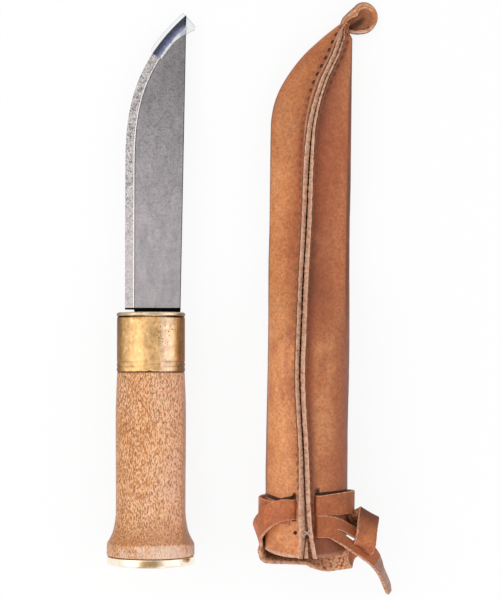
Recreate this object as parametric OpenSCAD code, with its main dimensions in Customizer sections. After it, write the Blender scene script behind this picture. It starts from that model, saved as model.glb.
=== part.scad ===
// Northern puukko knife lying beside its leather sheath.
// Millimetres, +Y toward the tips, +Z up from the surface that both lie on.

/* [Blade] */
// Length from the ferrule to the point
blade_length = 127.3; // [90:0.1:170]
// Distance from the grip's axis to the cutting edge
edge_offset = 11.1; // [8:0.1:14]
// Distance from the grip's axis to the spine at the ferrule
spine_offset = 12.5; // [8:0.1:14]
// How far the spine leans out by the time it reaches the point
spine_rise = 2.4; // [0:0.1:5]
// Length over which the edge sweeps up to the point
belly_length = 70; // [40:1:85]
// Thickness at the spine
blade_thickness = 3.0; // [2:0.1:5]
// Thickness at the spine close to the point
point_thickness = 1.6; // [1:0.1:3]
// Width of the ground bevel along the edge
bevel_width = 4.0; // [2:0.1:6]
// Thickness left at the very edge
edge_thickness = 0.2; // [0.1:0.05:0.4]
// Length of blade left without a bevel at the ferrule
heel_length = 1.2; // [0.5:0.1:4]

/* [Tang] */
// Width of the tang where it leaves the blade
tang_width = 9; // [6:0.1:14]
// Width of the tang at the butt
tang_end_width = 5.4; // [4:0.1:8]
// Diameter of the peened end
peen_d = 7.4; // [6:0.1:12]
// Depth of the countersink that the peened end fills
peen_depth = 1.4; // [0.8:0.1:2.5]

/* [Grip] */
// Thickness of the ferrule as a share of its width
roundness = 0.77; // [0.72:0.01:0.9]
// Length of wood between ferrule and cap
grip_length = 77.6; // [60:0.1:110]
// Width of the grip
grip_width = 29.8; // [24:0.1:36]
// Width of the flared butt
butt_width = 37.2; // [32:0.1:46]
// Length of the flare above the butt's lip
flare_length = 14; // [8:0.1:24]
// Depth of the waist above the flare
waist = 0.12; // [0.05:0.01:1]
// Length over which the wood swells behind the ferrule
swell_length = 16; // [6:0.5:24]
// Length of the lip at the butt
lip_length = 4.6; // [2:0.1:8]

/* [Ferrule and cap] */
// Length of ferrule with its plate
ferrule_length = 25.3; // [15:0.1:40]
// Width of the ferrule
ferrule_width = 28.9; // [22:0.1:36]
// Wall of the ferrule sleeve
ferrule_wall = 0.9; // [0.5:0.1:2]
// Thickness of the front plate
plate_thickness = 1.9; // [1.2:0.1:4]
// Thickness of the butt cap
cap_thickness = 3.6; // [2.6:0.1:6]
// Rounding of the butt cap's end
cap_round = 1.0; // [0.3:0.1:1.2]

/* [Tip guard] */
// How far the guard reaches down from the point, along the edge
guard_length = 16.6; // [10:0.1:24]
// How far the guard reaches over the blade from the edge
guard_reach = 4.6; // [3:0.1:6]
// Width of the guard's welded rim outside the edge
guard_rim = 1.3; // [0.8:0.1:2]
// Wall of the guard
guard_wall = 0.4; // [0.3:0.05:0.8]
// Clearance between guard and blade
guard_clearance = 0.3; // [0.2:0.05:0.6]

/* [Sheath] */
// Thickness of the leather
leather = 1.6; // [1:0.1:2.4]
// Clearance between the grip and the leather
pocket_clearance = 0.75; // [0.5:0.05:2]
// Length of grip that the sheath takes in
grip_in_sheath = 65.4; // [40:0.1:90]
// Length of leather beyond the blade's point
tip_margin = 9; // [6:0.1:16]
// Length over which the sheath's outline sweeps in to its tip
sweep_length = 46; // [35:0.1:60]
// Height of the sheath along the blade
blade_part_height = 12; // [10:0.1:18]
// Height of the two seam flanges above the sheath's back
flange_height = 4.4; // [3:0.1:8]
// Gap between the two seam flanges
seam_gap = 0.7; // [0.4:0.1:2]
// How far the flanges spread apart at the mouth
mouth_spread = 2.4; // [0:0.1:5]
// How far the mouth is cut back at its sides
mouth_cut = 2.6; // [0:0.1:5]
// Width of the slits that the strap passes through
slit_width = 2.2; // [1.8:0.1:3]
// Diameter of the lace hole beside the seam
lace_hole_d = 1.4; // [1:0.1:3]
// Spacing of the stitches
stitch_pitch = 3.5; // [2.5:0.1:6]
// Diameter of the thread
thread_d = 0.8; // [0.5:0.1:1.4]
// Width of the cupped ear at the tip
ear_width = 15.2; // [12:0.1:17]
// Height of the cupped ear
ear_height = 5.8; // [4:0.1:9]

/* [Liner] */
// Thickness of the slot that takes the blade
slot_thickness = 5.0; // [4.6:0.1:7]
// Clearance between the liner and the leather
liner_clearance = 0.35; // [0.3:0.05:1]
// Clearance between the edge and the liner's fold
edge_clearance = 1.2; // [0.5:0.1:3]

/* [Strap] */
// Width of the strap
strap_width = 9.2; // [6:0.1:11]
// Thickness of the strap
strap = 1.7; // [1:0.1:2]
// Clearance between a strap turn and what it lies on
strap_clearance = 0.3; // [0.25:0.05:1]

/* [Layout] */
// Distance between the knife's axis and the sheath's
spacing = 65.6; // [50:0.1:120]

/* [Hidden] */
$fn = 96;
fit = 0.15;
tiny = 0.01;

// Oval of the ferrule, made of two end arcs and two side arcs
oval_a = ferrule_width / 2;
oval_b = oval_a * roundness;
end_r = 0.86 * oval_b;
side_r = (oval_a * oval_a + oval_b * oval_b - 2 * oval_a * end_r) / (2 * (oval_b - end_r));
end_c = oval_a - end_r;
side_c = side_r - oval_b;
join = atan2(side_c, end_c);
core_deep = oval_b / 2;

tip_offset = spine_offset + spine_rise;
blade_width = edge_offset + tip_offset;
tang_thickness = blade_thickness;
grip_out = (grip_width - ferrule_width) / 2;
butt_out = (butt_width - ferrule_width) / 2;
bead_out = 0.15;
bead_from = 0.5;
wood_end = -ferrule_length - grip_length;
butt_end = wood_end - cap_thickness;
stub_d = tang_end_width;

sheath_width = grip_width + 2 * (pocket_clearance + leather);
mouth_height = 2 * (oval_b + grip_out + pocket_clearance + leather);
half_w = sheath_width / 2;
ferrule_front = ferrule_length + grip_in_sheath;
point_at = ferrule_front + blade_length;
tip_at = point_at + tip_margin;
tip_x = half_w - 4.7;
pocket_end = tip_at - 7;
shoulder_end = ferrule_front + 28;
fillet = flange_height / 2;
slit_out = seam_gap / 2 + leather / 2 + fillet + 0.9;
liner_start = shoulder_end - 6;
liner_end = point_at + 0.5;

// The sheath's mouth is held up by the strap turns under it, and the knife's tail by its butt
band_at = 22.9;
under_strap = (strap + strap_clearance) / (1 - (band_at + strap_width / 2 + 1) / pocket_end);
sheath_tilt = asin(under_strap / pocket_end);
knife_tilt = atan((butt_out - bead_out) / (ferrule_length + grip_length - lip_length - bead_from));

sheath_at = [23.28, -108.53];
knife_at = [sheath_at[0] - spacing, -5.83];
sheath_turn = -0.8;

// Value of a smooth curve through a table of [position, value] pairs
function span(t, y, i = 0) = (i >= len(t) - 2 || y < t[i + 1][0]) ? i : span(t, y, i + 1);
function slope(t, i) =
    let (a = max(i - 1, 0), b = min(i + 1, len(t) - 1))
    (t[b][1] - t[a][1]) / (t[b][0] - t[a][0]);
function curve(t, y) =
    let (
        i = span(t, y),
        h = t[i + 1][0] - t[i][0],
        s = min(max((y - t[i][0]) / h, 0), 1)
    )
    (1 + 2 * s) * (1 - s) * (1 - s) * t[i][1] + s * (1 - s) * (1 - s) * h * slope(t, i)
    + s * s * (3 - 2 * s) * t[i + 1][1] - s * s * (1 - s) * h * slope(t, i + 1);

// Skin over closed rings that all have the same number of points
module skin(rings, caps) {
    n = len(rings[0]);
    m = len(rings);
    sides = [
        for (i = [0 : m - 2], j = [0 : n - 1], k = [0, 1])
        let (a = i * n + j, b = i * n + (j + 1) % n, c = a + n, d = b + n)
        k == 0 ? [a, b, d] : [a, d, c]
    ];
    ends = [for (c = caps) [c[2], c[1], c[0]]];
    last = [for (c = caps) [for (v = c) v + (m - 1) * n]];
    polyhedron(points = [for (r = rings, p = r) p], faces = concat(sides, ends, last), convexity = 10);
}

// End caps of a ring made of two rows that run side by side
function strip_caps(n) = [
    for (j = [0 : n / 2 - 2], k = [0, 1])
    k == 0 ? [j, n - 2 - j, n - 1 - j] : [j, j + 1, n - 2 - j]
];

// Knife: the grip's axis lies along Y, the ferrule's front face at Y = 0

module lay_knife() {
    height = (oval_b + bead_out) * cos(knife_tilt) - bead_from * sin(knife_tilt);
    translate([knife_at[0], knife_at[1], height])
        rotate([-knife_tilt, 0, 0])
            children();
}

// Oval ring along the grip: its profile is drawn as distance out from the ferrule's oval and distance back
module turned() {
    rotate([90, 0, 0])
        for (half = [0, 180])
            rotate(half) {
                translate([end_c, 0, 0])
                    rotate(-join)
                        rotate_extrude(angle = 2 * join)
                            translate([end_r, 0])
                                children();
                translate([0, -side_c, 0])
                    rotate(join)
                        rotate_extrude(angle = 180 - 2 * join)
                            translate([side_r, 0])
                                children();
            }
}

// Point of the grip's oval whose face looks along angle a, out from the ferrule's oval by d
function oval(a, d) =
    abs(sin(a)) < sin(join)
        ? [sign(cos(a)) * end_c, 0] + (end_r + d) * [cos(a), sin(a)]
        : [0, -sign(sin(a)) * side_c] + (side_r + d) * [cos(a), sin(a)];

// Fills the middle of an oval ring
module turned_core(from, to) {
    translate([0, -(from + to) / 2, 0])
        cube([2 * (oval_a - core_deep) + 1, to - from, 2 * (oval_b - core_deep) + 1], center = true);
}

function belly(y) =
    let (t = min(max((blade_length - y) / belly_length, 0), 1))
    -edge_offset + blade_width * pow(1 - t, 3);
function belly_slope(y) =
    let (t = min(max((blade_length - y) / belly_length, 0), 1))
    3 * blade_width * pow(1 - t, 2) / belly_length;
function spine(y) = spine_offset + spine_rise * y / blade_length;
function back_half(y) =
    let (t = min(max((blade_length - y) / (belly_length * 0.6), 0), 1))
    (point_thickness + (blade_thickness - point_thickness) * t) / 2;

function blade_ring(y) =
    let (
        edge = belly(y),
        back = max(spine(y), edge + tiny),
        wide = bevel_width * sqrt(1 + pow(belly_slope(y), 2)),
        share = min((back - edge - tiny / 2) / wide, 1),
        bevel = edge + wide * share,
        h_edge = edge_thickness / 2,
        h_bevel = h_edge + (back_half(y) - h_edge) * share,
        h_back = share < 1 ? h_bevel : back_half(y)
    )
    [
        [back, y, -h_back], [back, y, h_back], [bevel, y, h_bevel],
        [edge, y, h_edge], [edge, y, -h_edge], [bevel, y, -h_bevel]
    ];

module blade() {
    straight = blade_length - belly_length;
    stations = concat(
        [heel_length, straight / 2],
        [for (i = [0 : 46]) straight + (belly_length - 0.15) * (1 - pow(1 - i / 46, 1.5))]
    );
    color("#8c8a88")
    lay_knife() {
        skin([for (y = stations) blade_ring(y)], [[0, 1, 2], [0, 2, 3], [0, 3, 4], [0, 4, 5]]);
        translate([bevel_width - edge_offset, 0, -blade_thickness / 2])
            cube([edge_offset + spine_offset - bevel_width, heel_length + tiny, blade_thickness]);
        translate([0, 0, -tang_thickness / 2])
            linear_extrude(tang_thickness)
                polygon([
                    [-tang_width / 2, tiny], [tang_width / 2, tiny],
                    [tang_end_width / 2, wood_end + 2], [-tang_end_width / 2, wood_end + 2]
                ]);
        translate([0, wood_end + 3, 0])
            rotate([90, 0, 0])
                cylinder(d = stub_d, h = cap_thickness + 3 - tiny);
        translate([0, butt_end + peen_depth, 0])
            rotate([90, 0, 0])
                cylinder(d1 = stub_d, d2 = peen_d, h = peen_depth);
    }
}

module ferrule_plate() {
    color("#c9a24a")
    lay_knife()
        difference() {
            union() {
                turned()
                    polygon([
                        [-core_deep, 0], [-0.4, 0], [bead_out, bead_from], [bead_out, plate_thickness - 0.4],
                        [-0.3, plate_thickness], [-core_deep, plate_thickness]
                    ]);
                turned_core(0, plate_thickness);
            }
            cube([tang_width + 2 * fit, 3 * plate_thickness, tang_thickness + 2 * fit], center = true);
        }
}

module ferrule_sleeve() {
    color("#c9a24a")
    lay_knife()
        turned()
            polygon([
                [-ferrule_wall, plate_thickness], [-0.3, plate_thickness], [0, plate_thickness + 0.4],
                [0, ferrule_length - 3.2], [-0.25, ferrule_length - 2.9], [-0.25, ferrule_length - 2.4],
                [0, ferrule_length - 2.1], [0, ferrule_length - 0.4], [-0.3, ferrule_length],
                [-ferrule_wall, ferrule_length]
            ]);
}

// The grip's outline: how far it stands out from the ferrule's oval, back from the ferrule's front
flare_from = ferrule_length + grip_length - lip_length - flare_length;
flare_rise = butt_out - grip_out + waist;
flare_shape = [[0.3, 0.1], [0.6, 0.32], [0.8, 0.64], [0.92, 0.9], [1, 0.985]];
grip_shape = concat(
    [[ferrule_length, -0.1], [ferrule_length + swell_length, grip_out], [flare_from, grip_out - waist]],
    [for (f = flare_shape) [flare_from + flare_length * f[0], grip_out - waist + flare_rise * f[1]]],
    [[-wood_end, butt_out]]
);

around = 48;
function grip_ring(d, out) = [
    for (j = [0 : around - 1])
    let (p = oval(-360 * j / around, out))
    [p[0], -d, p[1]]
];

module handle() {
    from = plate_thickness + fit;
    tenon = -ferrule_wall - fit;
    end = -wood_end;
    stations = concat(
        [for (i = [0 : 4]) ferrule_length + swell_length * i / 4],
        [for (i = [0 : 14]) flare_from + flare_length * i / 14],
        [end - lip_length / 2, end - 0.4]
    );
    rings = concat(
        [for (d = stations) grip_ring(d, curve(grip_shape, d))],
        [grip_ring(end, butt_out - 0.3)]
    );
    color("#c99a72")
    lay_knife()
        difference() {
            union() {
                skin(rings, [for (j = [1 : around - 2]) [0, j, j + 1]]);
                turned()
                    polygon([
                        [-core_deep, from], [tenon, from],
                        [tenon, ferrule_length + 1], [-core_deep, ferrule_length + 1]
                    ]);
                turned_core(from, ferrule_length + 1);
            }
            translate([0, wood_end / 2, 0])
                cube([tang_width + 2 * fit, -wood_end + 2, tang_thickness + 2 * fit], center = true);
            translate([0, wood_end + 5, 0])
                rotate([90, 0, 0])
                    cylinder(d = stub_d + 2 * fit, h = 6);
        }
}

module butt_cap() {
    from = ferrule_length + grip_length;
    to = from + cap_thickness;
    out = butt_out + 0.1;
    color("#d8b65a")
    lay_knife()
        difference() {
            union() {
                turned()
                    polygon([
                        [-core_deep, from], [out - 0.3, from], [out, from + 0.3], [out, to - cap_round],
                        [out - cap_round * 0.3, to - cap_round * 0.3], [out - cap_round, to], [-core_deep, to]
                    ]);
                turned_core(from, to);
            }
            translate([0, wood_end + 1, 0])
                rotate([90, 0, 0])
                    cylinder(d = stub_d + 2 * fit, h = cap_thickness + 2);
            translate([0, butt_end + peen_depth, 0])
                rotate([90, 0, 0])
                    cylinder(d1 = stub_d + 2 * fit, d2 = peen_d + 2 * fit, h = peen_depth + tiny);
        }
}

// Point beside the edge, out from the blade by d, at height y along the blade
function beside_edge(y, d) =
    let (s = belly_slope(y), n = sqrt(1 + s * s))
    [belly(y) - d / n, y + d * s / n];

module tip_guard() {
    low = blade_length - guard_length;
    steps = 14;
    rows = [for (i = [0 : steps]) low + (guard_length - 0.6) * i / steps];
    gap = back_half(low - guard_reach) * 2 + 2 * guard_clearance;
    spine_low = blade_length - guard_length * 0.55;
    spine_x = tip_offset + guard_rim + 1.4;
    outer = concat(
        [for (y = rows) beside_edge(y, guard_rim + guard_clearance)],
        [[tip_offset, blade_length + guard_rim + guard_clearance],
         [tip_offset + guard_rim, blade_length + guard_rim],
         [spine_x, spine_low + 1], [spine_x - 1, spine_low]],
        [for (i = [steps : -1 : 0]) if (beside_edge(rows[i], -guard_reach)[0] < tip_offset - 1)
            beside_edge(rows[i], -guard_reach)]
    );
    inner = concat(
        [for (y = rows) beside_edge(y, guard_clearance)],
        [[tip_offset + guard_clearance, blade_length + guard_clearance],
         [tip_offset + guard_clearance, low - 20], [-edge_offset - 2, low - 20]]
    );
    color("#c8d4ea", 0.4)
    lay_knife()
        difference() {
            linear_extrude(gap + 2 * guard_wall, center = true)
                polygon(outer);
            linear_extrude(gap, center = true)
                polygon(inner);
        }
}

// Sheath: its axis lies along Y, the mouth at Y = 0, its underside at Z = 0

module lay_sheath() {
    translate([sheath_at[0], sheath_at[1], under_strap])
        rotate([0, 0, sheath_turn])
            rotate([-sheath_tilt, 0, 0])
                children();
}

function sheath_left(y) =
    let (t = min(max((tip_at - y) / sweep_length, 0), 1))
    -half_w + (half_w + tip_x) * pow(1 - t, 2.05);
function sheath_height(y) = curve([
    [0, mouth_height], [ferrule_front - 4, mouth_height], [ferrule_front + 3, mouth_height - 1.5],
    [ferrule_front + 15, (mouth_height + blade_part_height) / 2 - 1], [shoulder_end, blade_part_height + 0.5],
    [shoulder_end + 10, blade_part_height], [point_at - 6, blade_part_height - 0.5], [tip_at, 5.4]
], y);
function squareness(y) = curve([
    [0, 2.3], [ferrule_front, 2.4], [shoulder_end, 3.2], [point_at - 20, 3.2], [tip_at, 2.4]
], y);
function seam_x(y) = curve([
    [0, 1.0], [20, -0.7], [45, -1.9], [75, -3.8], [ferrule_front + 14, -3.1], [point_at - 78, -1.6],
    [point_at - 48, -0.5], [point_at - 33, 1.0], [point_at - 18, 5.0], [point_at - 6, 10.2],
    [pocket_end, tip_x + 0.3]
], y);

function section_mid(y) = (half_w + sheath_left(y)) / 2;
function section_half(y, inset) = (half_w - sheath_left(y)) / 2 - inset;

// Point of the sheath's section at angle a, inset from the outer face
function round_sign(v, p) = sign(v) * pow(abs(v), p);
function section(y, a, inset) =
    let (p = 2 / squareness(y), h = sheath_height(y))
    [
        section_mid(y) + section_half(y, inset) * round_sign(cos(a), p),
        h / 2 + (h / 2 - inset) * round_sign(sin(a), p)
    ];

// Angle at which the section reaches x on its upper side
function root_angle(y, x) =
    let (c = (x - section_mid(y)) / section_half(y, leather / 2))
    acos(sign(c) * pow(min(abs(c), 0.999), squareness(y) / 2));

// The leather's middle line at y: left flange, round the pocket, right flange
function sheet_line(y) =
    let (
        mid = seam_gap / 2 + leather / 2 + mouth_spread / 2 * pow(max(1 - y / 16, 0), 2),
        f = min(fillet, section_half(y, 0) * 0.3),
        x = seam_x(y),
        from = root_angle(y, x - mid - f),
        to = 360 + root_angle(y, x + mid + f),
        z1 = section(y, from, leather / 2)[1],
        z2 = section(y, to, leather / 2)[1],
        top = flange_height - f
    )
    concat(
        [[x - mid, z1 + f + top], [x - mid, z1 + f + top / 2]],
        [for (i = [4 : -1 : 1]) [x - mid - f + f * sin(i * 90 / 4), z1 + f - f * cos(i * 90 / 4)]],
        [for (i = [0 : 24]) section(y, from + (to - from) * i / 24, leather / 2)],
        [for (i = [1 : 4]) [x + mid + f - f * sin(i * 90 / 4), z2 + f - f * cos(i * 90 / 4)]],
        [[x + mid, z2 + f + top / 2], [x + mid, z2 + f + top]]
    );
function unit(v) = v / norm(v);
function shifted(line, d) = [
    for (i = [0 : len(line) - 1])
    let (
        t = unit(line[min(i + 1, len(line) - 1)] - line[max(i - 1, 0)])
    )
    line[i] + d * [t[1], -t[0]]
];
// The mouth's edge is cut back toward both sides
function mouth_back(x, y) =
    mouth_cut * pow(min(abs(x) / half_w, 1), 2.5) * pow(max(1 - y / 18, 0), 2);
function sheet_ring(y) =
    let (
        line = sheet_line(y),
        outer = shifted(line, leather / 2),
        inner = shifted(line, -leather / 2)
    )
    concat(
        [for (p = outer) [p[0], y + mouth_back(p[0], y), p[1]]],
        [for (i = [len(inner) - 1 : -1 : 0]) [inner[i][0], y + mouth_back(inner[i][0], y), inner[i][1]]]
    );

// The neck between pocket and ear: the last section, drawn in by shares at distances past the pocket
neck = [[1.2, 0.86], [2.4, 0.7], [3.6, 0.56], [5, 0.43], [6.6, 0.34]];
function neck_ring(n) =
    let (
        y = pocket_end + n[0],
        mid = sheath_left(y) + n[1] * section_half(pocket_end, 0)
    )
    [
        for (p = sheet_ring(pocket_end))
        [mid + n[1] * (p[0] - section_mid(pocket_end)), y, 0.2 + p[2] * (0.4 + 0.6 * n[1])]
    ];

// The ear at the tip: its outline as shares of half its width, then the cup from underside to floor
ear_at = [tip_x + 8.1, tip_at + 1.3];
ear_outline = [
    [0, 0.97], [28, 1.04], [65, 1.06], [94, 0.96], [124, 0.79], [155, 0.84], [178, 1.04], [200, 1.2],
    [216, 1.12], [234, 0.94], [270, 0.8], [304, 0.83], [339, 0.89], [360, 0.97]
];
// Its rim by angle: height as a share of the ear's, thickness as a share of its width, steepness inside
ear_rim = [
    [0, 0.57], [45, 0.74], [90, 0.92], [130, 1], [180, 0.97], [215, 0.74], [250, 0.6], [290, 0.58], [360, 0.57]
];
ear_lip = [
    [0, 0.08], [45, 0.145], [90, 0.22], [125, 0.255], [165, 0.245], [200, 0.17], [235, 0.11], [270, 0.125],
    [320, 0.1], [360, 0.08]
];
ear_steep = [
    [0, 1.8], [45, 1.4], [80, 1.8], [130, 5], [180, 6], [225, 4], [270, 5], [320, 3], [360, 1.8]
];
ear_wall = [[0.1, 0], [0.55, 0.03], [0.86, 0.2], [1.0, 0.66], [0.985, 0.9]];
ear_top = [[0.3, 1.0], [0.7, 0.99], [1.0, 0.9]];
ear_floor = [0.88, 0.7, 0.4, 0.1];
ear_low = 0.2;
ear_deep = [-0.12, 0];

module ear() {
    steps = 36;
    floor_z = (tip_at * sin(sheath_tilt) - under_strap) / cos(sheath_tilt) + 0.05;
    turns = [for (j = [0 : steps - 1]) 360 - 360 * j / steps];
    function reach(a) = ear_width / 2 * curve(ear_outline, a);
    function rim(a) = ear_height * curve(ear_rim, a);
    function at(a, r, h) = [ear_at[0] + r * cos(a), ear_at[1] + r * sin(a), floor_z + h];
    function over_lip(a, k, h) = at(a, reach(a) - k * ear_width * curve(ear_lip, a), h * rim(a));
    deep = [ear_at[0] + ear_deep[0] * ear_width, ear_at[1] + ear_deep[1] * ear_width, floor_z + ear_low * ear_height];
    function inside(a, q) =
        let (edge = over_lip(a, 1, ear_top[2][1]), p = deep + q * (edge - deep))
        [p[0], p[1], deep[2] + (edge[2] - deep[2]) * pow(q, curve(ear_steep, a))];
    rings = concat(
        [for (c = ear_wall) [for (a = turns) at(a, reach(a) * c[0], rim(a) * c[1])]],
        [for (c = ear_top) [for (a = turns) over_lip(a, c[0], c[1])]],
        [for (q = ear_floor) [for (a = turns) inside(a, q)]]
    );
    skin(rings, [for (j = [1 : steps - 2]) [0, j, j + 1]]);
}

module sheath_leather() {
    stations = concat(
        [for (i = [0 : 3]) i * 4],
        [for (i = [0 : 7]) 16 + (ferrule_front - 16) * i / 8],
        [for (i = [0 : 7]) ferrule_front + (shoulder_end + 10 - ferrule_front) * i / 8],
        [for (i = [0 : 5]) shoulder_end + 10 + (tip_at - sweep_length - shoulder_end - 10) * i / 6],
        [for (i = [0 : 12]) tip_at - sweep_length + (pocket_end - tip_at + sweep_length) * i / 12]
    );
    rings = concat([for (y = stations) sheet_ring(y)], [for (n = neck) neck_ring(n)]);
    color("#b9764a")
    lay_sheath() {
        difference() {
            skin(rings, strip_caps(len(rings[0])));
            translate([seam_x(24) - slit_out - slit_width / 2, 18.6, mouth_height / 2])
                cube([slit_width, strap_width + 1.6, mouth_height]);
            translate([seam_x(18) + slit_out - slit_width / 2, 8.4, mouth_height / 2])
                cube([slit_width, 2 * strap_width + 1.6, mouth_height]);
            translate([seam_x(10) - slit_out - 0.6, 10.5, mouth_height / 2])
                cylinder(d = lace_hole_d, h = mouth_height);
        }
        ear();
    }
}

module seam_thread() {
    first = 8;
    count = floor((pocket_end - 2 - first) / stitch_pitch);
    color("#8a5a3c")
    lay_sheath()
        for (i = [0 : count]) {
            y = first + i * stitch_pitch;
            line = sheet_line(y);
            translate([seam_x(y), y, line[1][1]])
                rotate([0, 90, 0])
                    cylinder(d = thread_d, h = 2 * leather + seam_gap + thread_d, center = true);
        }
}

module blade_liner() {
    inset = leather + liner_clearance;
    stations = [for (i = [0 : 22]) liner_start + (liner_end - liner_start) * (1 - pow(1 - i / 22, 1.4))];
    count = 32;
    rings = [
        for (y = stations)
        [for (j = [0 : count - 1]) let (p = section(y, 360 * j / count, inset)) [p[0], y, p[1]]]
    ];
    caps = [for (j = [1 : count - 2]) [0, j, j + 1]];
    mid = (sheath_height(shoulder_end + 10)) / 2;
    color("#3a3a38")
    lay_sheath()
        difference() {
            skin(rings, caps);
            translate([0, ferrule_front, mid - slot_thickness / 2])
                linear_extrude(slot_thickness)
                    polygon(concat(
                        [[sheath_width, blade_length + 1], [sheath_width, liner_start - ferrule_front - 1]],
                        [[-edge_offset - edge_clearance, liner_start - ferrule_front - 1]],
                        [
                            for (i = [0 : 12])
                            beside_edge(blade_length - belly_length * (1 - i / 12), edge_clearance)
                        ]
                    ));
        }
}

// Point on the sheath's outer face at angle a, out from it by d
function wrap(y, a, d) =
    let (p = section(y, a, -d))
    [p[0], y, p[1]];

// Smooth ribbon through stations of [centre, direction of its width, width]
function blend(a, b, c, d, s) =
    0.5 * (2 * b + (c - a) * s + (2 * a - 5 * b + 4 * c - d) * s * s + (3 * b - a - 3 * c + d) * s * s * s);
function ribbon_at(st, i, s) =
    let (n = len(st) - 1, a = max(i - 1, 0), c = min(i + 1, n), d = min(i + 2, n))
    [for (k = [0 : 2]) blend(st[a][k], st[i][k], st[c][k], st[d][k], s)];
module ribbon(st, thickness, steps = 5) {
    n = (len(st) - 1) * steps;
    last = len(st) - 2;
    line = [for (i = [0 : n]) let (k = min(floor(i / steps), last)) ribbon_at(st, k, i / steps - k)];
    rings = [
        for (i = [0 : n])
        let (
            t = unit(line[min(i + 1, n)][0] - line[max(i - 1, 0)][0]),
            w = unit(line[i][1] - (line[i][1] * t) * t),
            up = cross(t, w)
        )
        [for (c = [[1, 1], [1, -1], [-1, -1], [-1, 1]])
            line[i][0] + c[0] * w * line[i][2] / 2 + c[1] * up * thickness / 2]
    ];
    skin(rings, [[0, 1, 2], [0, 2, 3]]);
}

module choke_band() {
    out = strap_clearance + strap / 2;
    color("#b4714a")
    lay_sheath()
        ribbon([
            for (k = [
                [79, 0, 0], [50, 0.1, 0.4], [20, 0.2, 1.0], [0, 0.2, 1.2], [-20, 0, 1.0], [-50, -0.6, 0.2],
                [-90, -1.3, 0], [-130, -2, 0.2], [-160, -2.6, 0.8], [-180, -2.8, 1.0],
                [-200, -2.6, 0.6], [-225, -2, 0.1], [-250, -1.4, 0]
            ])
            [wrap(band_at + k[1], k[0], out + k[2]), [0, 1, 0], strap_width]
        ], strap);
}

module belt_loop() {
    out = strap_clearance + strap / 2;
    over = out + strap + strap_clearance + 0.2;
    right = half_w;
    low = strap_width / 2;
    through = [0.65, -0.63, -0.44];
    fold = [0.87, -0.49, 0];
    color("#c07e4e")
    lay_sheath()
        ribbon(concat(
            [
                for (k = [
                    [102, 24, over, [-0.25, 1, 0]], [118, 21.5, over + 0.2, [-0.3, 1, 0]],
                    [135, 18, over + 0.5, [-0.3, 1, -0.1]], [149, 14.2, over + 0.6, [-0.3, 0.85, -0.35]],
                    [172, 10.2, over, [-0.29, 0.54, -0.78]]
                ])
                [wrap(k[1], k[0], k[2]), k[3], strap_width]
            ],
            // On edge round the left corner and below the mouth, then flat again to the right
            [
                [[-right - 2.5, 5.5, low + 8], [0.14, 0.12, -1], strap_width],
                [[-right - 2.2, 2.2, low + 6], [0.22, 0.08, -1], strap_width],
                [[-right - 1.2, -0.4, low + 4.2], [0.2, 0.14, -1], strap_width],
                [[-right + 1.6, -1.9, low + 2.8], [0.1, 0.2, -1], strap_width],
                [[-right / 2, -2.8, low + 1.2], [0, 0.25, -1], strap_width],
                [[-0.3, -2.9, low - 0.2], [0, 0.28, -1], strap_width],
                [[2.5, -3.1, low - 1], [0, 0.38, -0.92], strap_width],
                [[right / 2, -3.2, low - 2.7], [0, 0.74, -0.67], strap_width],
                [[right - 4.4, -2.5, low - 3], [-0.05, 0.92, -0.35], strap_width],
                [[right, -1.9, 3.6], [0.1, 0.95, 0.05], strap_width],
                [[right + 3.0, -1.3, 7.2], [0.45, 0.75, 0.3], strap_width],
                [[right + 5.0, 0.9, 12.0], [0.75, 0.1, 0.1], strap_width],
                [[right + 6.1, 3.6, 16.0], [0.7, -0.45, -0.3], strap_width],
                [[right + 6.9, 4.3, 20.2], through, strap_width],
                [[right + 7.2, 5.2, 23.9], through, strap_width],
                [[right + 7.8, 9.6, 25.7], [0.75, -0.55, -0.3], strap_width],
                [[right + 8.4, 14.6, 23.7], [0.85, -0.5, -0.1], strap_width],
                [[right + 9.0, 18.2, 19.8], fold, strap_width],
                [[right + 8.7, 17.0, 16.4], fold, strap_width],
                [[right + 7.9, 13.2, 15.4], fold, strap_width]
            ]
        ), strap);
}

module tie_end() {
    out = strap_clearance + strap / 2;
    right = half_w;
    slit = strap + 2 * strap_clearance + 0.9;
    wide = strap_width + 1.4;
    start = band_at - strap_width - 0.5;
    line = [
        [wrap(start, 79, out), [0, 1, 0], strap_width],
        [wrap(start, 66, out + 0.1), [0.05, 1, 0], strap_width],
        [wrap(start - 0.6, 57, out + 0.9), [0.15, 1, 0], strap_width],
        [[right - 1.4, 10.2, 26.0], [0.42, 0.9, 0], wide],
        [[right + 4.6, 6.0, 22.0], [0.58, 0.8, 0], wide],
        [[right + 11.4, -0.6, 16.8], [0.75, 0.62, -0.1], strap_width * 0.8],
        [[right + 15.0, -7.0, 10.8], [0.72, 0.45, -0.5], strap_width * 0.6],
        [[right + 17.6, -12.6, 5.0], [0.72, 0.35, -0.55], strap_width * 0.5],
        [[right + 19.0, -16.7, -0.6], [0.75, 0.35, -0.5], strap_width * 0.34]
    ];
    color("#b4714a")
    lay_sheath()
        difference() {
            ribbon(line, strap);
            ribbon([
                for (k = [2.3, 2.9, 3.3, 3.6, 4, 4.5, 4.97, 5.15])
                let (p = ribbon_at(line, floor(k), k - floor(k)))
                [p[0], p[1], k < 2.5 || k > 5 ? 0.4 : k < 3.1 ? slit / 2 : slit]
            ], 3 * strap, 2);
        }
}

blade();
ferrule_plate();
ferrule_sleeve();
handle();
butt_cap();
tip_guard();
sheath_leather();
seam_thread();
blade_liner();
choke_band();
belt_loop();
tie_end();
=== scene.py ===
"""Looks of a northern puukko and its leather sheath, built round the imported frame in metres."""

import math

import bmesh
import bpy
from mathutils import Matrix, Vector, noise


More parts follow.
